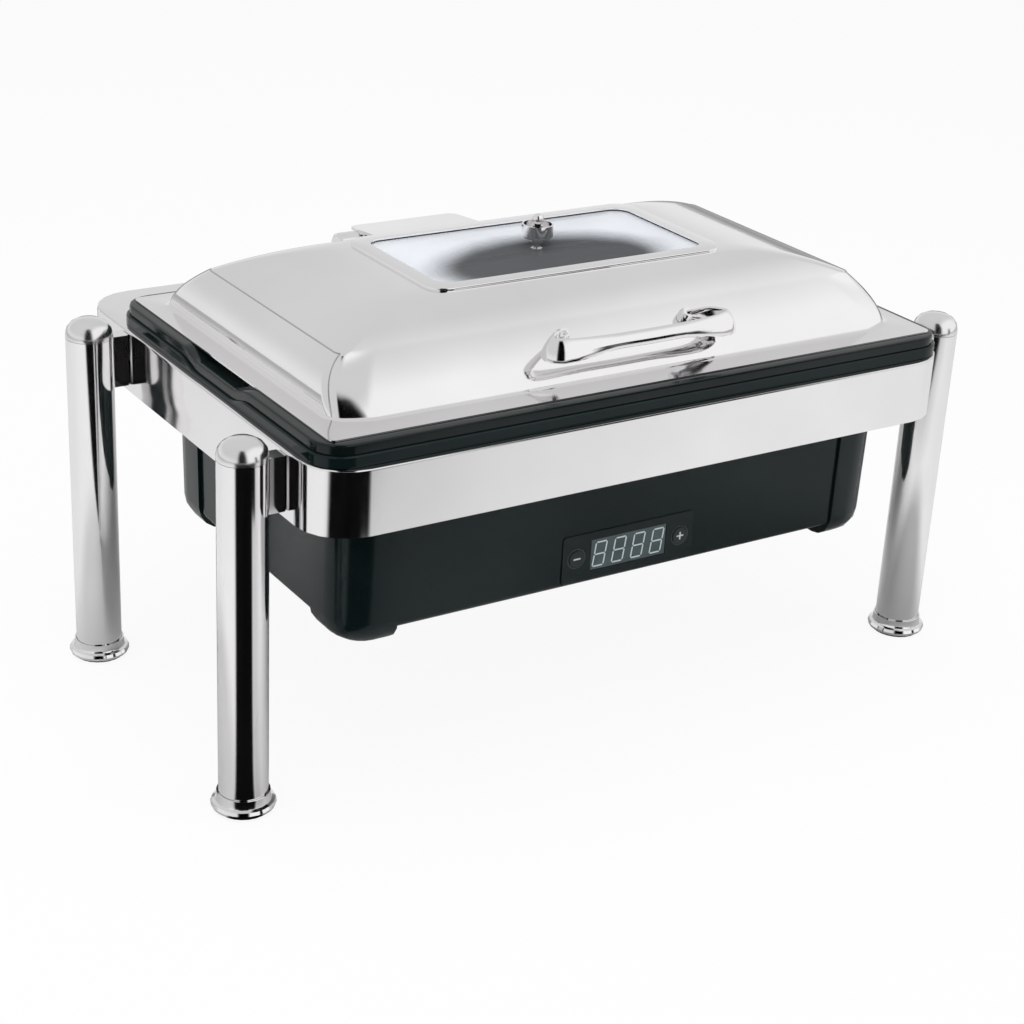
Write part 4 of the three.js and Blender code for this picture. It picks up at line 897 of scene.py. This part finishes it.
def floor():
    """A white floor. The camera sees it near white, with the object's soft shadow."""
    bpy.ops.mesh.primitive_plane_add(size=FLOOR_SIZE, location=(0, 0, -FLOOR_GAP))
    made = bpy.context.object
    made.name = "floor"
    f = Finish("floor_white", (FLOOR_GREY,) * 3, 0.9, Specular_IOR_Level=0)
    f.tint(f.noise(3, 2), (FLOOR_GREY - FLOOR_CLOUD,) * 3, (FLOOR_GREY + FLOOR_CLOUD,) * 3)
    rays = f.node("ShaderNodeLightPath").outputs
    glow = f.node("ShaderNodeEmission", {"Color": (1, 1, 1, 1), "Strength": 1})
    seen = f.node(
        "ShaderNodeMath",
        {0: rays["Is Camera Ray"], 1: rays["Is Transmission Ray"]},
        operation="MAXIMUM",
    )
    seen = f.node(
        "ShaderNodeMath", {0: seen.outputs[0], 1: FLOOR_OWN_LIGHT}, operation="MULTIPLY"
    )
    share = f.node(
        "ShaderNodeMath",
        {0: rays["Is Glossy Ray"], 1: FLOOR_MIRRORED_LIGHT, 2: seen.outputs[0]},
        operation="MULTIPLY_ADD",
    )
    f.blend(share.outputs[0], f.shader, glow)
    made.data.materials.append(f.material)


def world():
    """White all round. Polished surfaces see it dimmer on the left and behind, and dark in part."""
    made = bpy.data.worlds.new("studio")
    bpy.context.scene.world = made
    made.use_nodes = True
    tree = made.node_tree
    background = tree.nodes["Background"]
    background.inputs["Color"].default_value = (1, 1, 1, 1)
    way = Field(tree, add_node(tree, "ShaderNodeTexCoord").outputs["Generated"])
    rise = way.elevation()

    def above(elevation, edge):
        """1 above an elevation in degrees, 0 below it."""
        return way.step(rise, math.radians(elevation - edge), math.radians(elevation + edge))

    high = way.step(rise, math.radians(DIM_FROM), math.radians(DIM_TO))
    loss = way.sum("ADD", 1 - SKY_LOW, way.times(high, SKY_LOW - SKY_HIGH))
    bright = way.step(way.along(BRIGHT_BEARING), BRIGHT_FROM, BRIGHT_TO)
    dim = way.times(loss, way.rest(bright))
    wide = way.times(way.rest(above(DARK_TOP, DARK_EDGE)), above(-DARK_TOP, DARK_EDGE))
    wide = way.times(way.sector(DARK_BEARING, DARK_HALF, DARK_EDGE), wide)
    narrow = way.times(
        way.sector(SLIT_BEARING, SLIT_HALF, SLIT_EDGE), way.rest(above(SLIT_TOP, SLIT_EDGE))
    )
    dark = way.sum("MAXIMUM", wide, narrow)
    mirrored = way.times(way.rest(dim), way.rest(dark))
    rays = add_node(tree, "ShaderNodeLightPath").outputs
    seen = way.sum("MAXIMUM", rays["Is Camera Ray"], rays["Is Transmission Ray"])
    plain = way.sum("ADD", SKY_LEVEL, way.times(seen, SKY_SEEN - SKY_LEVEL))
    glossy = rays["Is Glossy Ray"]
    strength = way.sum("ADD", way.times(glossy, mirrored), way.times(way.rest(glossy), plain))
    tree.links.new(strength, background.inputs["Strength"])


def dark_sheet(name):
    """The black finish of a sheet on the floor."""
    f = Finish(name, SHEET_BLACK, 1, Specular_IOR_Level=0)
    f.tint(f.noise(4, 2), *SHEET_TINTS)
    return f


def only_mirrored(made):
    """Hides a sheet from all but polished surfaces."""
    made.visible_camera = False
    made.visible_diffuse = False
    made.visible_transmission = False
    made.visible_shadow = False


def flag():
    """A sheet round the front left foot: black in front, wider far out, grey beside it, and grey
    behind it as painted shade under the object.
    """
    low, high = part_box("leg_foot_front_left")
    place = ((low.x + high.x) / 2, (low.y + high.y) / 2, FLOOR_GAP)
    bpy.ops.mesh.primitive_plane_add(size=2 * FLAG_LENGTH, location=place)
    made = bpy.context.object
    made.name = "flag"
    f = dark_sheet("flag_black")
    way = Field(f.tree, f.place)
    core = way.between(FLAG_FROM, FLAG_TO, FLAG_EDGE)
    wide = way.between(FLAG_FROM, FAR_SECTOR_TO, FLAG_EDGE)
    far = way.step(way.run(), FAR_FROM, FAR_TO)
    core = way.sum("MAXIMUM", core, way.times(wide, far))
    beside = way.times(way.between(FLAG_FROM, HAZE_TO, HAZE_EDGE), HAZE)
    # Grey behind the foot, under the object: painted shade.
    behind = way.times(way.sector(BEHIND_BEARING, BEHIND_HALF, HAZE_EDGE), BEHIND_SHADE)
    share = way.sum("MAXIMUM", core, way.sum("MAXIMUM", beside, behind))
    f.blend(share, f.node("ShaderNodeBsdfTransparent"), f.shader)
    made.data.materials.append(f.material)
    only_mirrored(made)


def leg_shade(foot, strength):
    """A soft grey patch on the floor in front of a foot."""
    low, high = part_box(foot)
    bearing = math.radians(SHADE_BEARING)
    x = (low.x + high.x) / 2 + SHADE_AWAY * math.cos(bearing)
    y = (low.y + high.y) / 2 + SHADE_AWAY * math.sin(bearing)
    bpy.ops.mesh.primitive_plane_add(size=2 * SHADE_TO, location=(x, y, 2 * FLOOR_GAP))
    made = bpy.context.object
    made.name = "shade_of_" + foot
    f = dark_sheet(made.name)
    way = Field(f.tree, f.place)
    near = way.rest(way.step(way.run(), SHADE_FROM, SHADE_TO))
    f.blend(way.times(near, strength), f.node("ShaderNodeBsdfTransparent"), f.shader)
    made.data.materials.append(f.material)
    only_mirrored(made)


def slit():
    """The dark slit's part on the floor, far in front of the handle."""
    low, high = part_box("lid_handle")
    start = Vector(((low.x + high.x) / 2, low.y, FLOOR_GAP))
    corners = []
    for run, side in ((SLIT_START, -1), (SLIT_END, -1), (SLIT_END, 1), (SLIT_START, 1)):
        bearing = math.radians(SLIT_BEARING + side * SLIT_HALF)
        corners.append(start + run * Vector((math.cos(bearing), math.sin(bearing), 0)))
    mesh = bpy.data.meshes.new("slit")
    mesh.from_pydata(corners, [], [(0, 1, 2, 3)])
    mesh.materials.append(dark_sheet("slit_black").material)
    made = bpy.data.objects.new("slit", mesh)
    bpy.context.scene.collection.objects.link(made)
    only_mirrored(made)


def lamp(name, place, side, power):
    made = bpy.data.objects.new(name, bpy.data.lights.new(name, "AREA"))
    made.data.shape = "SQUARE"
    made.data.size = side
    made.data.energy = power
    made.location = place
    aim = Vector(LAMP_TARGET) - Vector(place)
    made.rotation_euler = aim.to_track_quat("-Z", "Y").to_euler()
    made.visible_glossy = False
    bpy.context.scene.collection.objects.link(made)


dress()
lid_skin()
digits()
key_marks("minus_button", "minus_key", False)
key_marks("plus_button", "plus_key", True)
camera()
floor()
flag()
slit()
for one in SHADES:
    leg_shade(*one)
world()
for one in LAMPS:
    lamp(*one)

bpy.context.scene.view_settings.view_transform = "Standard"
